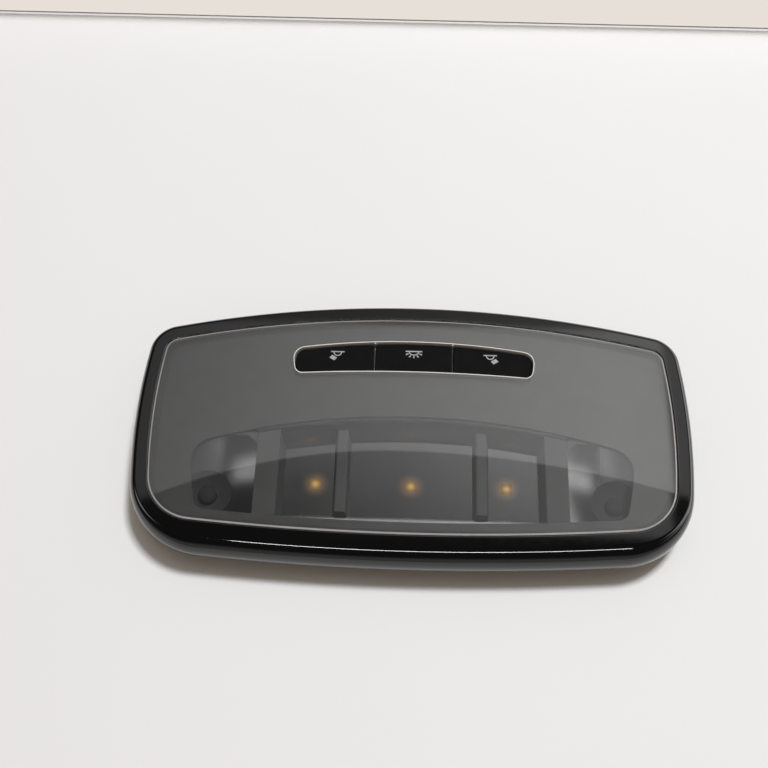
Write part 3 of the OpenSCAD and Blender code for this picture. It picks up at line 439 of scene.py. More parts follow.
def led_material(name, centre, strength):
    """A white package whose round phosphor is yellow, by distance from the LED's middle; the phosphor also
    has a painted warm glow of the given strength.
    """
    m = material(name, (0.85, 0.85, 0.8), 0.4)
    shift = node(m, "ShaderNodeVectorMath", operation="SUBTRACT")
    shift.inputs[1].default_value = centre
    link(m, object_point(m), shift.inputs[0])
    flat = node(m, "ShaderNodeVectorMath", operation="MULTIPLY")
    flat.inputs[1].default_value = (1 / MM, 1 / MM, 0)
    link(m, shift.outputs[0], flat.inputs[0])
    share = share_of_radius(m, flat.outputs[0], PHOSPHOR_R)
    warm = [(0.0, (0.42, 0.27, 0.07)), (0.25, (0.32, 0.20, 0.06)), (0.40, (0.16, 0.11, 0.06)),
            (0.65, (0.10, 0.09, 0.08))]
    # The emission is a painted glow of the phosphor.
    glow = [(0.0, (0.95, 0.66, 0.27)), (0.16, (0.70, 0.45, 0.17)), (0.32, (0.43, 0.26, 0.085)),
            (0.44, (0.29, 0.165, 0.052)), (0.65, (0.12, 0.066, 0.021))]
    link(m, ramp(m, share, warm), shader(m).inputs["Base Color"])
    link(m, ramp(m, share, glow), shader(m).inputs["Emission Color"])
    shader(m).inputs["Emission Strength"].default_value = strength
    return m


# Bezel
FACE_W, FRONT_FACE_W, FACE_T = 3.8, 4.0, 2.0
ROLL_W, FRONT_ROLL_W, ROLL_H, ROLL_STEPS = 2.5, 5.3, 6.0, 26
SKIRT_T, RIM_T, LEDGE_W, EDGE_R, UNDER_FRONT = 1.6, 1.2, 1.8, 0.35, 0.6
RIM_Z, LENS_Z, LEDGE_Z, RIM_LOW = 11.0, 16.8, 15.4, 13.0
HOOK_HALF_W, HOOK_LOW, NOSE_LOW, NOSE_H = 4.0, 7.2, 8.0, 1.4
BACK_HOOKS, FRONT_HOOKS = (-30.0, 0.0, 30.0), (-60.0, 0.0, 60.0)


def bezel_rings():
    """The ring's section from the lens round the outside and back, as closed rings."""
    flat = grow(OPENING, FACE_W, FRONT_FACE_W)
    wide = grow(flat, ROLL_W, FRONT_ROLL_W)
    skirt = outline(grow(wide, -SKIRT_T))
    p_open, p_flat, p_wide = outline(OPENING), outline(flat), outline(wide)
    p_edge, p_low = outline(grow(OPENING, EDGE_R)), outline(grow(wide, -EDGE_R))
    p_rim, p_ledge = outline(grow(OPENING, RIM_T)), outline(grow(OPENING, -LEDGE_W))
    edge_angles = spread(0.0, QUARTER, 5)
    rings = [blend_ring(p_open, p_edge, 1 - math.cos(a), TOTAL_H - EDGE_R * (1 - math.sin(a)))
             for a in edge_angles]
    rings += [blend_ring(p_edge, p_flat, t, TOTAL_H) for t in (0.06, 0.94)]
    rings += [blend_ring(p_flat, p_wide, math.sin(a), TOTAL_H - ROLL_H * (1 - math.cos(a)))
              for a in spread(0.0, QUARTER, ROLL_STEPS)]
    rings += [blend_ring(p_low, p_wide, math.cos(a), RIM_Z + EDGE_R * (1 - math.sin(a)))
              for a in edge_angles]
    under = outline(grow(flat, 0, UNDER_FRONT))
    return rings + [
        at(skirt, RIM_Z), at(skirt, TOTAL_H - ROLL_H), at(under, TOTAL_H - FACE_T),
        at(p_rim, TOTAL_H - FACE_T), at(p_rim, RIM_LOW), at(p_open, RIM_LOW), at(p_open, LEDGE_Z),
        at(p_ledge, LEDGE_Z), at(p_ledge, LENS_Z), at(p_open, LENS_Z),
    ]


def bezel_hooks(s):
    """Snap hooks that reach into the housing, each with a nose."""
    outer, nose = grow(OPENING, RIM_T), grow(OPENING, -RIM_T)
    parts = ((OPENING, HOOK_LOW, RIM_LOW), (nose, NOSE_LOW, NOSE_LOW + NOSE_H))
    for edge, places in ((back_edge, BACK_HOOKS), (front_edge, FRONT_HOOKS)):
        for x in places:
            across = spread(x - HOOK_HALF_W, x + HOOK_HALF_W, 6)
            for inside, z0, z1 in parts:
                loop = [(u, edge(outer, u)) for u in across]
                loop += [(u, edge(inside, u)) for u in reversed(across)]
                s.prism(loop, z0, z1)


def bezel():
    s = Shell()
    s.loft(bezel_rings(), closed=True)
    bezel_hooks(s)
    piece = s.make("bezel_ring", [bezel_black], sharp=28)
    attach(piece, "lamp")
    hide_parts("bezel")


# Lens
LENS_GAP, LENS_BEVEL, LENS_BEVEL_H, PRINT_W, UNDER_GAP = 0.12, 0.5, 0.35, 2.3, 0.02


def lens():
    body = grow(OPENING, -LENS_GAP)
    top, side = outline(grow(body, -LENS_BEVEL)), outline(body)
    border = outline(grow(OPENING, -PRINT_W))
    hole = outline(SLOT, SLOT_STEPS)
    under = LENS_Z + UNDER_GAP
    face, edge, below, border_print = range(4)
    s = Shell()
    s.sheet([top, hole], TOTAL_H, True, face)
    # The bevel takes the pale painted glow.
    s.loft([at(top, TOTAL_H), at(side, TOTAL_H - LENS_BEVEL_H), at(side, under)], kind=edge)
    s.loft([at(hole, under), at(hole, TOTAL_H)], kind=below)
    s.sheet([side, border], under, False, border_print)
    s.sheet([border, hole], under, False, below)
    piece = s.make("lens_smoked", [lens_smoke, lens_edge_glow, lens_under, print_grey], sharp=20)
    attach(piece, "lamp")
    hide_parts("cover_lens")


# Mask
MASK_INSET, MASK_T, MASK_SLOT_GAP = 2.04, 1.2, 0.12


def mask():
    edge, window = outline(grow(OPENING, -MASK_INSET)), outline(WINDOW)
    hole = outline(grow(SLOT, MASK_SLOT_GAP), SLOT_STEPS)
    z1, z0 = LENS_Z, LENS_Z - MASK_T
    s = Shell()
    s.sheet([edge, hole, window], z1, True)
    s.loft([at(edge, z1), at(edge, z0)])
    for loop in (hole, window):
        s.loft([at(loop, z0), at(loop, z1)])
    s.sheet([edge, hole, window], z0, False)
    piece = s.make("mask_sheet", [mask_grey])
    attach(piece, "lamp")
    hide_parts("mask_panel")


# Keys
RING_T, KEY_GAP, KEY_FRONT_GAP = 0.35, 0.45, 0.3
KEY = grow(grow(SLOT, -RING_T), -KEY_GAP, -KEY_GAP - KEY_FRONT_GAP)
SPLIT_X, HALF_SPLIT = 13.15, 0.2
KEY_Z, PLATE_Z, SKIRT_Z, JOIN = 17.8, 16.3, 11.2, 0.1
KEY_ROUND, CORNER_R, KEY_WALL = 0.38, 0.45, 1.0
LUG_X, LUG_HALF_W, LUG_REACH, LUG_ROOT, LUG_H = 3.6, 1.5, 0.8, 0.3, 0.8
STEM_R, STEM_LOW, STEM_X = 1.6, 10.7, 7.0
KEY_MID = (SPLIT_X + KEY.half_w) / 2
KEY_X = {"left": -KEY_MID, "centre": 0.0, "right": KEY_MID}
SWITCH_X = {"left": -KEY_MID - STEM_X, "centre": STEM_X, "right": KEY_MID + STEM_X}


def corner(x, y, r, a, b, n=6):
    return [(x + r * math.cos(math.radians(t)), y + r * math.sin(math.radians(t)))
            for t in spread(a, b, n)]


def key_loop(which, inset, side_inset=0.0):
    """Edge of one key, clockwise from above, pulled in by inset."""
    o = grow(KEY, -inset)
    r = max(CORNER_R - inset, 0.05)
    if which == "centre":
        hi = SPLIT_X - HALF_SPLIT - inset - side_inset
        xs = spread(hi - r, r - hi, 28)
        back_y, front_y = back_edge(o, hi - r) - r, front_edge(o, hi - r) + r
        loop = [(-x, back_edge(o, x)) for x in xs][1:-1]
        loop += corner(hi - r, back_y, r, 90, 0) + corner(hi - r, front_y, r, 0, -90)
        loop += [(x, front_edge(o, x)) for x in xs][1:-1]
        return loop + corner(-hi + r, front_y, r, -90, -180) + corner(-hi + r, back_y, r, 180, 90)
    lo = SPLIT_X + HALF_SPLIT + inset + side_inset
    back, back_corner, side, front_corner, front = arcs(o)
    start = math.acos((lo + r) / back[1])
    end = math.atan2((front_edge(o, lo + r) - front[0][1]) / front[1], (lo + r) / front[1])
    loop = arc_points((back[0], back[1], start, back[3]), 24)
    loop += arc_points(back_corner, 14) + arc_points(side, 10) + arc_points(front_corner, 14)
    loop += arc_points((front[0], front[1], front[2], end), 24, last=True)
    loop += corner(lo + r, front_edge(o, lo + r) + r, r, -90, -180)[1:]
    loop += corner(lo + r, back_edge(o, lo + r) - r, r, 180, 90)[:-1]
    return [(-x, y) for x, y in reversed(loop)] if which == "left" else loop


def key_lugs(s, x):
    """The lugs at the back and the front of a key's skirt."""
    across = spread(x - LUG_HALF_W, x + LUG_HALF_W, 4)
    for edge, out in ((back_edge, 1), (front_edge, -1)):
        loop = [(u, edge(KEY, u) + out * LUG_REACH) for u in across]
        loop += [(u, edge(KEY, u) - out * LUG_ROOT) for u in reversed(across)]
        s.prism(loop, SKIRT_Z, SKIRT_Z + LUG_H)


def key(which):
    s = Shell()
    rings = [at(key_loop(which, KEY_ROUND * (1 - math.sin(a))), KEY_Z - KEY_ROUND * (1 - math.cos(a)))
             for a in spread(0.0, QUARTER, 6)]
    rings.append(at(key_loop(which, 0), PLATE_Z))
    s.solid(rings)
    outer, inner = key_loop(which, 0, KEY_WALL), key_loop(which, KEY_WALL, KEY_WALL)
    s.loft([at(outer, PLATE_Z + JOIN), at(outer, SKIRT_Z), at(inner, SKIRT_Z),
            at(inner, PLATE_Z + JOIN)], closed=True)
    for x in (KEY_X[which] - LUG_X, KEY_X[which] + LUG_X):
        key_lugs(s, x)
    x = SWITCH_X[which]
    y = (back_edge(KEY, x) + front_edge(KEY, x)) / 2
    s.prism(corner(x, y, STEM_R, 0, 360, 40)[:-1], STEM_LOW, PLATE_Z + JOIN)
    piece = s.make("key_cap_" + which, [key_black], sharp=32)
    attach(piece, "key_" + which)
    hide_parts("button_" + which)


# Pictograms
SYMBOL_Z = (KEY_Z - 0.01, KEY_Z + 0.012)
DOME_Y, DOME_BAR_HALF_W, DOME_BAR_T, DOME_DROP = 28.4, 2.8, 0.43, 0.15
DOME_BOWL, DOME_BOWL_T = (1.6, 1.2), 0.36
DOME_RAYS = ((-90, 1.75), (-57, 1.85), (-123, 1.85), (-25, 2.0), (-155, 2.0))
RAY_LENGTH, RAY_SQUASH, RAY_NEAR_HALF_W, RAY_FAR_HALF_W = 1.0, 0.86, 0.16, 0.26
READING_SYMBOL, READING_BAR_HALF_W, READING_BAR_T, READING_DROP = (25.85, 27.6), 2.3, 0.38, 0.12
READING_BOWL, READING_BOWL_T = (1.3, 1.32), 0.34
BEAM_PLACE, BEAM_ANGLE, BEAM_ROW_ANGLE = (1.46, -2.3), -48, 31
BEAM_HALF_L, BEAM_T, BEAM_OFFSETS = 0.72, 0.42, (-0.75, -0.25, 0.25, 0.75)


def direction(degrees):
    return math.cos(math.radians(degrees)), math.sin(math.radians(degrees))


def band(path, w):
    """Outline of a line of width w along a path."""
    left, right = [], []
    for i, (x, y) in enumerate(path):
        (ax, ay), (bx, by) = path[max(i - 1, 0)], path[min(i + 1, len(path) - 1)]
        d = math.hypot(bx - ax, by - ay)
        nx, ny = (ay - by) / d * w / 2, (bx - ax) / d * w / 2
        left.append((x + nx, y + ny))
        right.append((x - nx, y - ny))
    return left + right[::-1]


def bowl_path(cx, y, size):
    rx, ry = size
    return [(cx + rx * math.cos(a), y + ry * math.sin(a)) for a in spread(math.pi, 2 * math.pi, 20)]


def bar(cx, half_w, y, w):
    return [(cx - half_w, y - w / 2), (cx + half_w, y - w / 2),
            (cx + half_w, y + w / 2), (cx - half_w, y + w / 2)]


def symbol(which, loops):
    s = Shell()
    for loop in loops:
        s.prism(loop, *SYMBOL_Z)
    piece = s.make("symbol_" + which, [symbol_white])
    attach(piece, "key_" + which)


def ray(angle, start):
    """One ray of the dome lamp, wider at its far end."""
    c, n = direction(angle)
    (px, py), (qx, qy) = [(r * c, DOME_Y - DOME_DROP + RAY_SQUASH * r * n)
                          for r in (start, start + RAY_LENGTH)]
    d = math.hypot(qx - px, qy - py)
    tx, ty = -(qy - py) / d, (qx - px) / d
    near, far = RAY_NEAR_HALF_W, RAY_FAR_HALF_W
    return [(px + near * tx, py + near * ty), (px - near * tx, py - near * ty),
            (qx - far * tx, qy - far * ty), (qx + far * tx, qy + far * ty)]


def dome_symbol():
    loops = [bar(0, DOME_BAR_HALF_W, DOME_Y, DOME_BAR_T),
             band(bowl_path(0, DOME_Y - DOME_DROP, DOME_BOWL), DOME_BOWL_T)]
    symbol("centre", loops + [ray(angle, start) for angle, start in DOME_RAYS])


def reading_symbol(which, side):
    cx, cy = READING_SYMBOL
    loops = [bar(cx, READING_BAR_HALF_W, cy, READING_BAR_T),
             band(bowl_path(cx, cy - READING_DROP, READING_BOWL), READING_BOWL_T)]
    (ux, uy), (vx, vy) = direction(BEAM_ANGLE), direction(BEAM_ROW_ANGLE)
    for off in BEAM_OFFSETS:
        x, y = cx + BEAM_PLACE[0] + off * vx, cy + BEAM_PLACE[1] + off * vy
        ends = [(x + half * ux, y + half * uy) for half in (-BEAM_HALF_L, BEAM_HALF_L)]
        loops.append(band(ends, BEAM_T))
    symbol(which, [[(side * x, y) for x, y in loop] for loop in loops])


# Light box
BOX_WALL, BOARD_TOP, FLOOR_Z, BOX_TOP = 1.2, 6.6, 7.4, 15.4
BOX = grow(OPENING, -2.6)
CHAMBER = grow(BOX, -BOX_WALL)
CHAMBER_X, SIDE_LEAN, BACK_LEAN, LAND_X = 43.4, 1.6, 4.4, 50.8
CHAMBER_BACK, BACK_R, FLANGE_W, RIM_R = 3.4, 230.0, 2.7, 0.25
SINK, LED_HOLE, MID_Z = 0.4, 1.77, 10.0
LAND_R, SIDE_RIM_R, SIDE_BITE, BITE, FOOT_SINK = 0.25, 0.3, 0.6, 0.5, 0.3
DIVIDER_X, DIVIDER_FOOT, DIVIDER_TOP, DIVIDER_H, DIVIDER_R = 22.9, 2.7, 1.7, 5.2, 0.5
LEDGE_BACK, LEDGE_H, LEDGE_R, LEDGE_FRONT = -28.0, 2.6, 1.1, -34.0
LEDGE_SHOULDER, LEDGE_DROP, LEDGE_IN = 2.0, 0.12, 0.7
TIP_LEAN, TIP_FROM = 0.2, 2.3
METAL, LAND, LEDGE, BACK_WALL = range(4)


def arch_y(x, back):
    return back - BACK_R + math.sqrt(BACK_R ** 2 - x * x)


def rounded(points, r, n=5):
    """A closed section whose corner i is rounded by r[i]; points run anticlockwise."""
    out = []
    m = len(points)
    for i, (p, rad) in enumerate(zip(points, r)):
        if not rad:
            out.append(p)
            continue
        a, b = Vector(points[i - 1]) - Vector(p), Vector(points[(i + 1) % m]) - Vector(p)
        a.normalize()
        b.normalize()
        half = a.angle(b) / 2
        start, end = Vector(p) + a * rad / math.tan(half), Vector(p) + b * rad / math.tan(half)
        centre = Vector(p) + (a + b).normalized() * rad / math.sin(half)
        u, v = start - centre, end - centre
        turn = u.angle(v)
        for k in range(n + 1):
            t = k / n
            q = centre + (u * math.sin((1 - t) * turn) + v * math.sin(t * turn)) / math.sin(turn)
            out.append((q[0], q[1]))
    return out


def back_wall(s):
    """The arched back wall with its rim and flange."""
    foot = BOX_WALL - BACK_LEAN
    profile = [(0.0, BOX_TOP), (-BACK_LEAN, FLOOR_Z - SINK), (foot, BOARD_TOP),
               (foot + BOX_WALL, BOARD_TOP), (foot + BOX_WALL, FLOOR_Z),
               (BOX_WALL, BOX_TOP - BOX_WALL), (FLANGE_W, BOX_TOP - BOX_WALL), (FLANGE_W, BOX_TOP)]
    section = rounded(profile, [RIM_R, 0, 0, 0, 0, 0, 0, 0])
    s.sweep([[(x, arch_y(x, CHAMBER_BACK) + d, z) for d, z in section]
             for x in spread(LAND_X, -LAND_X, 96)], BACK_WALL)


def side_wall(s, side):
    """A leaning side wall of the chamber and the flat land beside it."""
    foot, top = CHAMBER_X - SIDE_LEAN, CHAMBER_X
    land = [(foot, BOARD_TOP), (foot + BOX_WALL, BOARD_TOP), (top + BOX_WALL, BOX_TOP - BOX_WALL),
            (LAND_X - BOX_WALL, BOX_TOP - BOX_WALL), (LAND_X - BOX_WALL, BOARD_TOP),
            (LAND_X, BOARD_TOP), (LAND_X, BOX_TOP), (top, BOX_TOP), (foot, FLOOR_Z - SINK)]
    loop = rounded(land, [0, 0, 0, 0, 0, 0, LAND_R, SIDE_RIM_R, 0])
    front = [(side * x, front_edge(BOX, x), z) for x, z in loop]
    back = [(side * x, arch_y(x, CHAMBER_BACK) + SIDE_BITE - (BACK_LEAN / 2 if z < MID_Z else 0), z)
            for x, z in loop]
    s.sweep([front, back] if side > 0 else [back, front], LAND)


def front_wall(s):
    s.sweep([[(x, front_edge(BOX, x), BOARD_TOP), (x, front_edge(BOX, x), BOX_TOP),
              (x, front_edge(CHAMBER, x), BOX_TOP), (x, front_edge(CHAMBER, x), BOARD_TOP)]
             for x in spread(-LAND_X, LAND_X, 60)], METAL)


def box_floor(s):
    """The floor with one opening for each LED."""
    half = CHAMBER_X - SIDE_LEAN + SIDE_BITE
    loop = [(x, arch_y(x, CHAMBER_BACK - BACK_LEAN) + BITE) for x in spread(-half, half, 40)]
    loop += [(x, front_edge(CHAMBER, x) - SINK) for x in spread(half, -half, 20)]
    holes = [[(x - LED_HOLE, LED_Y - LED_HOLE), (x + LED_HOLE, LED_Y - LED_HOLE),
              (x + LED_HOLE, LED_Y + LED_HOLE), (x - LED_HOLE, LED_Y + LED_HOLE)] for x in LED_X]
    s.sheet([loop] + holes, FLOOR_Z, True, METAL)
    s.sheet([loop] + holes, BOARD_TOP, False, METAL)
    s.loft([at(loop, FLOOR_Z), at(loop, BOARD_TOP)], kind=METAL)
    for hole in holes:
        s.loft([at(hole, BOARD_TOP), at(hole, FLOOR_Z)], kind=METAL)


def divider(s, x):
    """A tapered divider from the back wall to the front ledge."""
    foot, top = FLOOR_Z - FOOT_SINK, FLOOR_Z + DIVIDER_H
    wedge = rounded([(x + DIVIDER_FOOT, foot), (x + DIVIDER_TOP, top), (x - DIVIDER_TOP, top),
                     (x - DIVIDER_FOOT, foot)], [0, DIVIDER_R, DIVIDER_R, 0])
    back, front = [], []
    for u, z in wedge:
        lean = BACK_LEAN * (BOX_TOP - z) / (BOX_TOP - FLOOR_Z)
        back.append((u, arch_y(u, CHAMBER_BACK + BITE - lean), z))
        front.append((u, LEDGE_BACK - FOOT_SINK + TIP_LEAN * max(0.0, z - FLOOR_Z - TIP_FROM), z))
    s.sweep([back, front], LAND)


def front_ledge(s):
    """The ledge along the chamber's front, with a rounded edge, in a brighter copy of the reflector coat
    for a painted highlight along that edge.
    """
    foot, top = FLOOR_Z - FOOT_SINK, FLOOR_Z + LEDGE_H
    section = rounded([(LEDGE_BACK, foot), (LEDGE_BACK, top - LEDGE_DROP),
                       (LEDGE_BACK - LEDGE_SHOULDER, top), (LEDGE_FRONT, top),
                       (LEDGE_FRONT, foot)], [0, LEDGE_R, 0, 0, 0], 12)
    half = CHAMBER_X - LEDGE_IN
    s.sweep([[(x, max(y, front_edge(CHAMBER, x) - BITE), z) for y, z in section]
             for x in spread(half, -half, 40)], LEDGE)


def light_box():
    s = Shell()
    back_wall(s)
    for side in (-1, 1):
        side_wall(s, side)
    front_wall(s)
    box_floor(s)
    for x in (-DIVIDER_X, DIVIDER_X):
        divider(s, x)
    front_ledge(s)
    piece = s.make("light_box", [box_metal, land_grey, ledge_highlight, back_metal_shaded], sharp=38)
    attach(piece, "lamp")
    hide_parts("dome_reflector")


# Reading reflectors
BLOCK_X, MOUTH_X = (50.92, 78.5), 77.3
READING_X, READING_IN, BLOCK_D = 66.5, 9.7, 20.0
READING = (READING_X, front_edge(BOX, READING_X) + READING_IN)
BLOCK_BACK = READING[1] + BLOCK_D
BOWL_R, BOWL_FLOOR_R, BOWL_DEPTH, DISH_K = 8.0, 3.6, 3.0, 0.18 / 16
OPTIC_R, SCREW, SCREW_R = 2.7, (78.6, -9.0), 2.9
RAYS, BOWL_RINGS, DISH_RINGS = 240, 8, 14
NEVER, TINY = 1e9, 1e-7
DISH, BOWL, BLOCK = range(3)


def ray_to_line(d, axis, value):
    """Way along direction d from the bowl's middle to a line across one axis."""
    if abs(d[axis]) < 1e-9:
        return NEVER
    t = (value - READING[axis]) / d[axis]
    return t if t > 0 else NEVER


def ray_to_loop(d, loop):
    best = NEVER
    cx, cy = READING
    for (ax, ay), (bx, by) in zip(loop, loop[1:] + loop[:1]):
        ex, ey = bx - ax, by - ay
        det = ex * d[1] - ey * d[0]
        if abs(det) < 1e-12:
            continue
        t = (ex * (ay - cy) - ey * (ax - cx)) / det
        w = (d[0] * (ay - cy) - d[1] * (ax - cx)) / det
        if t > 0 and -1e-9 <= w <= 1 + 1e-9:
            best = min(best, t)
    return best


def ray_to_screw(d, r):
    mx, my = READING[0] - SCREW[0], READING[1] - SCREW[1]
    b = mx * d[0] + my * d[1]
    h = b * b - (mx * mx + my * my - r * r)
    return NEVER if h < 0 or -b - math.sqrt(h) < 0 else -b - math.sqrt(h)


def hollow_z(r):
    """Height of the flat floor, the bowl and the dish at a distance from the middle."""
    if r <= BOWL_FLOOR_R:
        return FLOOR_Z
    if r <= BOWL_R:
        return FLOOR_Z + BOWL_DEPTH * (r * r - BOWL_FLOOR_R ** 2) / (BOWL_R ** 2 - BOWL_FLOOR_R ** 2)
    return min(FLOOR_Z + BOWL_DEPTH + DISH_K * (r * r - BOWL_R ** 2), BOX_TOP)


def reading_row(a, mouth, block):
    """Section of the block in direction a: the hollow, its rim and the outer wall."""
    d = (math.cos(a), math.sin(a))
    dish_r = math.sqrt(BOWL_R ** 2 + (BOX_TOP - FLOOR_Z - BOWL_DEPTH) / DISH_K)
    open_side = ray_to_line(d, 0, BLOCK_X[0])
    walls = min(ray_to_loop(d, mouth), ray_to_line(d, 0, MOUTH_X),
                ray_to_line(d, 1, BLOCK_BACK - BOX_WALL), ray_to_screw(d, SCREW_R + BOX_WALL), dish_r)
    r = min(open_side, walls)
    edge = min(ray_to_loop(d, block), open_side, ray_to_line(d, 0, BLOCK_X[1]),
               ray_to_line(d, 1, BLOCK_BACK), ray_to_screw(d, SCREW_R))
    top = hollow_z(r) if open_side <= walls else BOX_TOP
    radii = [OPTIC_R] + spread(BOWL_FLOOR_R, BOWL_R, BOWL_RINGS)
    row = [(min(q, r), hollow_z(min(q, r))) for q in radii]
    row += [(q, hollow_z(q)) for q in spread(min(BOWL_R, r), r, DISH_RINGS)[1:]]
    row = [(OPTIC_R, BOARD_TOP)] + row + [(r, top), (edge, top), (edge, BOARD_TOP)]
    return [(READING[0] + q * d[0], READING[1] + q * d[1], z) for q, z in row]


def reading_reflector(which, side):
    mouth, block = outline(CHAMBER), outline(BOX)
    corners = [(BLOCK_X[0], front_edge(CHAMBER, BLOCK_X[0])), (BLOCK_X[0], BLOCK_BACK),
               (MOUTH_X, BLOCK_BACK - BOX_WALL), (BLOCK_X[1], BLOCK_BACK),
               (BLOCK_X[0], front_edge(BOX, BLOCK_X[0]))]
    angles = [2 * math.pi * k / RAYS for k in range(RAYS)]
    for x, y in corners:
        a = math.atan2(y - READING[1], x - READING[0]) % (2 * math.pi)
        angles += [a - TINY, a + TINY]
    rows = [[(side * x, y, z) for x, y, z in reading_row(a, mouth, block)]
            for a in sorted(angles, reverse=side > 0)]
    s = Shell()
    kinds = [BOWL] * (BOWL_RINGS + 2) + [DISH] * DISH_RINGS + [BLOCK] * 4
    s.loft(list(zip(*rows)), closed=True, kinds=kinds)
    piece = s.make("reading_dish_" + which, [dish_metal, bowl_painted_dark, land_grey], sharp=20)
    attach(piece, "lamp")
    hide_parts("reading_reflector_" + which)


# The CAD nodes that stay
PLAIN_NODES = {
    "button_surround": ring_pale, "button_guide": guide_pale, "circuit_board": board_green,
    "driver_chip": chip_black, "capacitors": can_metal, "power_inductor": inductor_grey,
    "resistors": chip_black, "connector_housing": housing_black, "connector_pins": pin_gold,
    "rear_housing": housing_black, "board_screws": spring_steel,
}


def dress(name, mat):
    piece = nodes[name]
    piece.data.materials.clear()
    piece.data.materials.append(mat)


def dress_all():
    glow_round_leds(box_metal)
    satin_outer_end(dish_metal)
    for name, mat in PLAIN_NODES.items():
        dress(name, mat)
    for side in ("left", "right"):
        dress("reading_optic_" + side, optic_painted_dark)
        for end in ("front", "back"):
            dress("spring_clip_%s_%s" % (side, end), spring_steel)
    for which in ("left", "centre", "right"):
        dress("symbol_pipe_" + which, clear_plastic)
        dress("switch_" + which, switch_black)
        dress("switch_plunger_" + which, plunger_grey)
    for name in [n for n in nodes if "led_" in n]:
        low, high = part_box(name)
        centre = ((low[0] + high[0]) / 2, (low[1] + high[1]) / 2, 0)
        dress(name, led_material("package_" + name, centre, DOME_PAINTED_GLOW if "dome" in name else 0.0))


# Stage, in metres
TABLE_SIDE, TABLE_BACK = 2.0, 0.2
WALL_LEFT_Y, WALL_RIGHT_Y, WALL_FOOT, WALL_TOP = 0.1975, 0.1925, 0.0016, 0.03


def plane(name, corners, mat):
    mesh = bpy.data.meshes.new(name)
    mesh.from_pydata(corners, [], [(0, 1, 2, 3)])
    mesh.materials.append(mat)
    piece = bpy.data.objects.new(name, mesh)
    bpy.context.scene.collection.objects.link(piece)


def pale_wall(m):
    """Seen straight on or in a mirror, the wall shows its own colour."""
    path = node(m, "ShaderNodeLightPath")
    seen = node(m, "ShaderNodeMath", operation="MAXIMUM")
    both = node(m, "ShaderNodeMath", operation="MAXIMUM")
    link(m, path.outputs["Is Camera Ray"], seen.inputs[0])
    link(m, path.outputs["Is Glossy Ray"], seen.inputs[1])
    link(m, seen.outputs[0], both.inputs[0])
    link(m, path.outputs["Is Transmission Ray"], both.inputs[1])
    own = node(m, "ShaderNodeEmission")
    own.inputs["Color"].default_value = (0.80, 0.745, 0.685, 1.0)
    mix = node(m, "ShaderNodeMixShader")
    out = [n for n in m.node_tree.nodes if n.bl_idname == "ShaderNodeOutputMaterial"][0]
    link(m, both.outputs[0], mix.inputs[0])
    link(m, shader(m).outputs[0], mix.inputs[1])
    link(m, own.outputs[0], mix.inputs[2])
    link(m, mix.outputs[0], out.inputs["Surface"])


def stage():
    floor = grained("floor_pale", (0.865, 0.86, 0.85), (0.885, 0.88, 0.87), (0.7, 0.8), 0.05, specular=0.2)
    wall = grained("wall_pale", (0.78, 0.74, 0.71), (0.82, 0.785, 0.75), (0.7, 0.8), 0.05, specular=0.2)
    # A darker sheet closes the gap under the wall's foot: painted shade in the crease.
    gap_shade = material("wall_gap_shade", (0.5, 0.46, 0.42), 0.8)
    pale_wall(wall)
    far = TABLE_SIDE
    plane("floor", [(-far, -far, 0), (far, -far, 0), (far, TABLE_BACK, 0), (-far, TABLE_BACK, 0)], floor)
    plane("wall", [(-far, WALL_LEFT_Y, WALL_FOOT), (far, WALL_RIGHT_Y, WALL_FOOT),
                   (far, WALL_RIGHT_Y, WALL_TOP), (-far, WALL_LEFT_Y, WALL_TOP)], wall)
    gap_z, gap_y = WALL_FOOT + 0.0001, 0.001
    plane("wall_gap", [(-far, TABLE_BACK, 0.0), (far, TABLE_BACK, 0.0),
                       (far, WALL_RIGHT_Y + gap_y, gap_z), (-far, WALL_LEFT_Y + gap_y, gap_z)], gap_shade)


# World
# The room that the lens mirrors: u runs to the right and v to the back, over the height. The lens
# mirrors |u| up to LENS_U and v from LENS_FRONT to LENS_BACK, and the bezel what lies beyond.
LENS_U, LENS_FRONT, LENS_BACK = 0.268, 0.338, 0.563
ARCH_V, ARCH_LEFT, ARCH_RIGHT = 0.422, 0.95, 0.5
CRISP, FIRM = 500.0, 200.0


class Field:
    """A number of the world's shader; what is done with it adds the node that works it out."""

    def __init__(self, tree, socket):
        self.tree, self.socket = tree, socket

    def result(self, operation, a, b=None, clamp=False):
        n = self.tree.nodes.new("ShaderNodeMath")
        n.operation, n.use_clamp = operation, clamp
        for socket, value in zip(n.inputs, (a, b)):
            if isinstance(value, Field):
                self.tree.links.new(value.socket, socket)
            elif value is not None:
                socket.default_value = value
        return Field(self.tree, n.outputs[0])

    def __add__(self, other):
        return self.result("ADD", self, other)

    def __sub__(self, other):
        return self.result("SUBTRACT", self, other)

    def __rsub__(self, other):
        return self.result("SUBTRACT", other, self)

    def __mul__(self, other):
        return self.result("MULTIPLY", self, other)

    def __truediv__(self, other):
        return self.result("DIVIDE", self, other)

    def __abs__(self):
        return self.result("ABSOLUTE", self)

    def at_least(self, other):
        return self.result("MAXIMUM", self, other)

    def at_most(self, other):
        return self.result("MINIMUM", self, other)

    def rise(self, start, slope):
        """0 up to start, then up to 1 at this slope."""
        return self.result("MULTIPLY", self - start, slope, True)

    def fall(self, end, slope):
        """0 from end on, and up to 1 below it at this slope."""
        return self.result("MULTIPLY", end - self, slope, True)


def bright_arch(u, v):
    """The bright ceiling behind an arched edge, weaker to the left and beyond the lens."""
    left, right = u.at_most(0.0), u.at_least(0.0)
    edge = ARCH_V - left * left * ARCH_LEFT - right * right * ARCH_RIGHT
    light = v.rise(edge, CRISP) * (u * 2.5 + 1.04).at_least(0.3).at_most(1.58)
    light = light * (abs(u).fall(0.46, 7.0) * 0.9 + 0.1)
    light = light * (1.0 - v.rise(LENS_BACK, FIRM) * 0.72)
    light = light * (1.0 - abs(u).rise(LENS_U, FIRM) * 0.55)
    return light * (1.0 - u.fall(-LENS_U, FIRM) * 0.35)


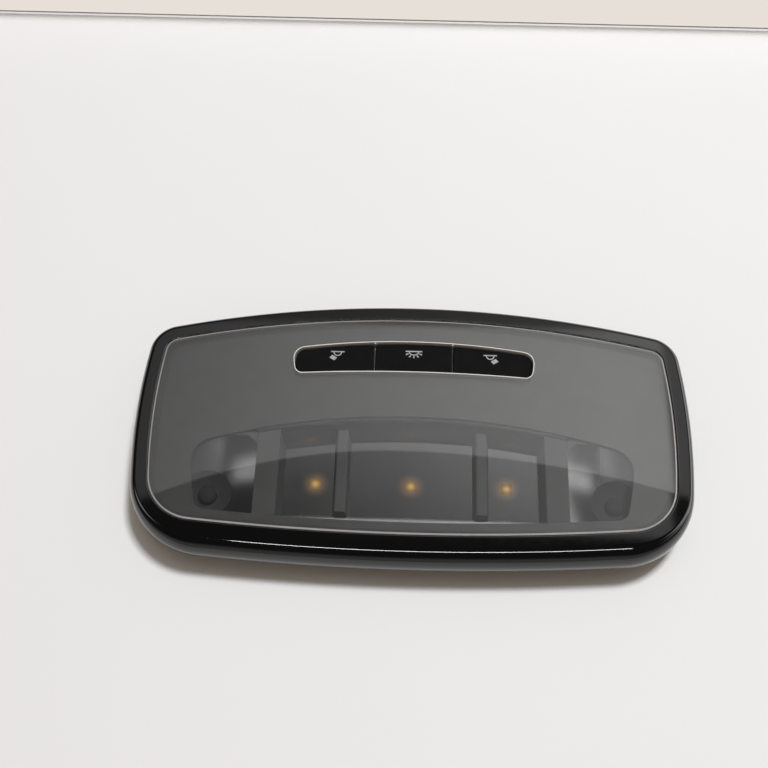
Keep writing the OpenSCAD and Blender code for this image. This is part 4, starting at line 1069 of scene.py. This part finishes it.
def faint_front(u, v):
    """Faint light under the arch, stronger to the right."""
    light = u.rise(-0.1, 2.4) * 0.85 * v.rise(LENS_FRONT, FIRM)
    return light * v.fall(0.6, 9.0) * abs(u).fall(LENS_U, FIRM)


def side_panels(u, v):
    """Soft panels to the left and the right, which the reading dishes mirror."""
    aside = abs(u)
    top = (aside - 0.35) * 0.1 + 0.26
    light = aside.rise(0.46, 6.0) * v.fall(top, 8.0) * v.rise(-0.16, 6.0) * aside.fall(1.5, 3.0)
    return light * (u.rise(-0.3, 1.6) * 0.45 + 1.95)


def world():
    w = bpy.data.worlds.new("studio")
    bpy.context.scene.world = w
    w.use_nodes = True
    t = w.node_tree
    t.nodes.clear()
    new = t.nodes.new
    coords = new("ShaderNodeTexCoord")
    split = new("ShaderNodeSeparateXYZ")
    t.links.new(coords.outputs["Generated"], split.inputs[0])
    x, y, z = [Field(t, socket) for socket in split.outputs]
    up = z.at_least(0.02)
    u, v = x / up, y / up
    near_front = v.fall(-1.6, 0.6) * 0.35
    far_right = u.rise(0.9, 2.0) * 2.6 * v.rise(-0.9, 1.0)
    total = bright_arch(u, v)
    for light in (side_panels(u, v), near_front, faint_front(u, v), far_right):
        total = total.at_least(light)
    total = total + 0.05
    rgb = new("ShaderNodeCombineColor")
    for i in range(3):
        t.links.new(total.socket, rgb.inputs[i])
    glossy = new("ShaderNodeBackground")
    t.links.new(rgb.outputs[0], glossy.inputs["Color"])
    soft = new("ShaderNodeBackground")
    soft.inputs["Color"].default_value = (0.235, 0.20, 0.165, 1)
    path = new("ShaderNodeLightPath")
    mix = new("ShaderNodeMixShader")
    out = new("ShaderNodeOutputWorld")
    t.links.new(path.outputs["Is Glossy Ray"], mix.inputs[0])
    t.links.new(soft.outputs[0], mix.inputs[1])
    t.links.new(glossy.outputs[0], mix.inputs[2])
    t.links.new(mix.outputs[0], out.inputs["Surface"])


# Lamps and camera, in metres
def area(name, location, size, power, color, size_y=None):
    """A rectangular lamp that points at the origin."""
    lamp = bpy.data.lights.new(name, "AREA")
    lamp.shape = "RECTANGLE"
    lamp.size, lamp.size_y = size, size_y or size
    lamp.energy = power
    lamp.color = color
    piece = bpy.data.objects.new(name, lamp)
    piece.location = location
    piece.rotation_euler = (-Vector(location)).to_track_quat("-Z", "Y").to_euler()
    bpy.context.scene.collection.objects.link(piece)
    return piece


def lights():
    for lamp in (area("key_light", (0.30, 0.27, 1.49), 0.24, 16.8, (0.97, 1.0, 1.045)),
                 area("top_light", (0.12, 0.15, 1.7), 0.9, 2.6, (1.0, 1.0, 1.0))):
        lamp.visible_glossy = False
    strip = area("strip", (0.05, -0.40, 1.2), 0.7, 2.8, (1.0, 0.99, 1.0), 0.035)
    strip.visible_diffuse = False


SENSOR_MM, PHOTO_PX, FOCAL_PX = 36.0, 768, 1100
CAMERA_PLACE, CAMERA_HEIGHT_ANGLE, CAMERA_TURN = (-0.00497, -0.1478, 0.3475), 63.6, 1.7


def camera():
    data = bpy.data.cameras.new("camera")
    data.sensor_width = SENSOR_MM
    data.lens = SENSOR_MM * FOCAL_PX / PHOTO_PX
    piece = bpy.data.objects.new("camera", data)
    height, turn = math.radians(CAMERA_HEIGHT_ANGLE), math.radians(CAMERA_TURN)
    right = Vector((math.cos(turn), math.sin(turn), 0))
    up = Vector((-math.sin(turn) * math.sin(height), math.cos(turn) * math.sin(height), math.cos(height)))
    pose = Matrix((right, up, right.cross(up))).transposed().to_4x4()
    pose.translation = Vector(CAMERA_PLACE)
    piece.matrix_world = pose
    bpy.context.scene.collection.objects.link(piece)
    bpy.context.scene.camera = piece


bezel()
lens()
mask()
for each in ("left", "centre", "right"):
    key(each)
dome_symbol()
reading_symbol("left", -1)
reading_symbol("right", 1)
light_box()
reading_reflector("left", -1)
reading_reflector("right", 1)
dress_all()
stage()
world()
lights()
camera()
bpy.context.scene.view_settings.view_transform = "Standard"
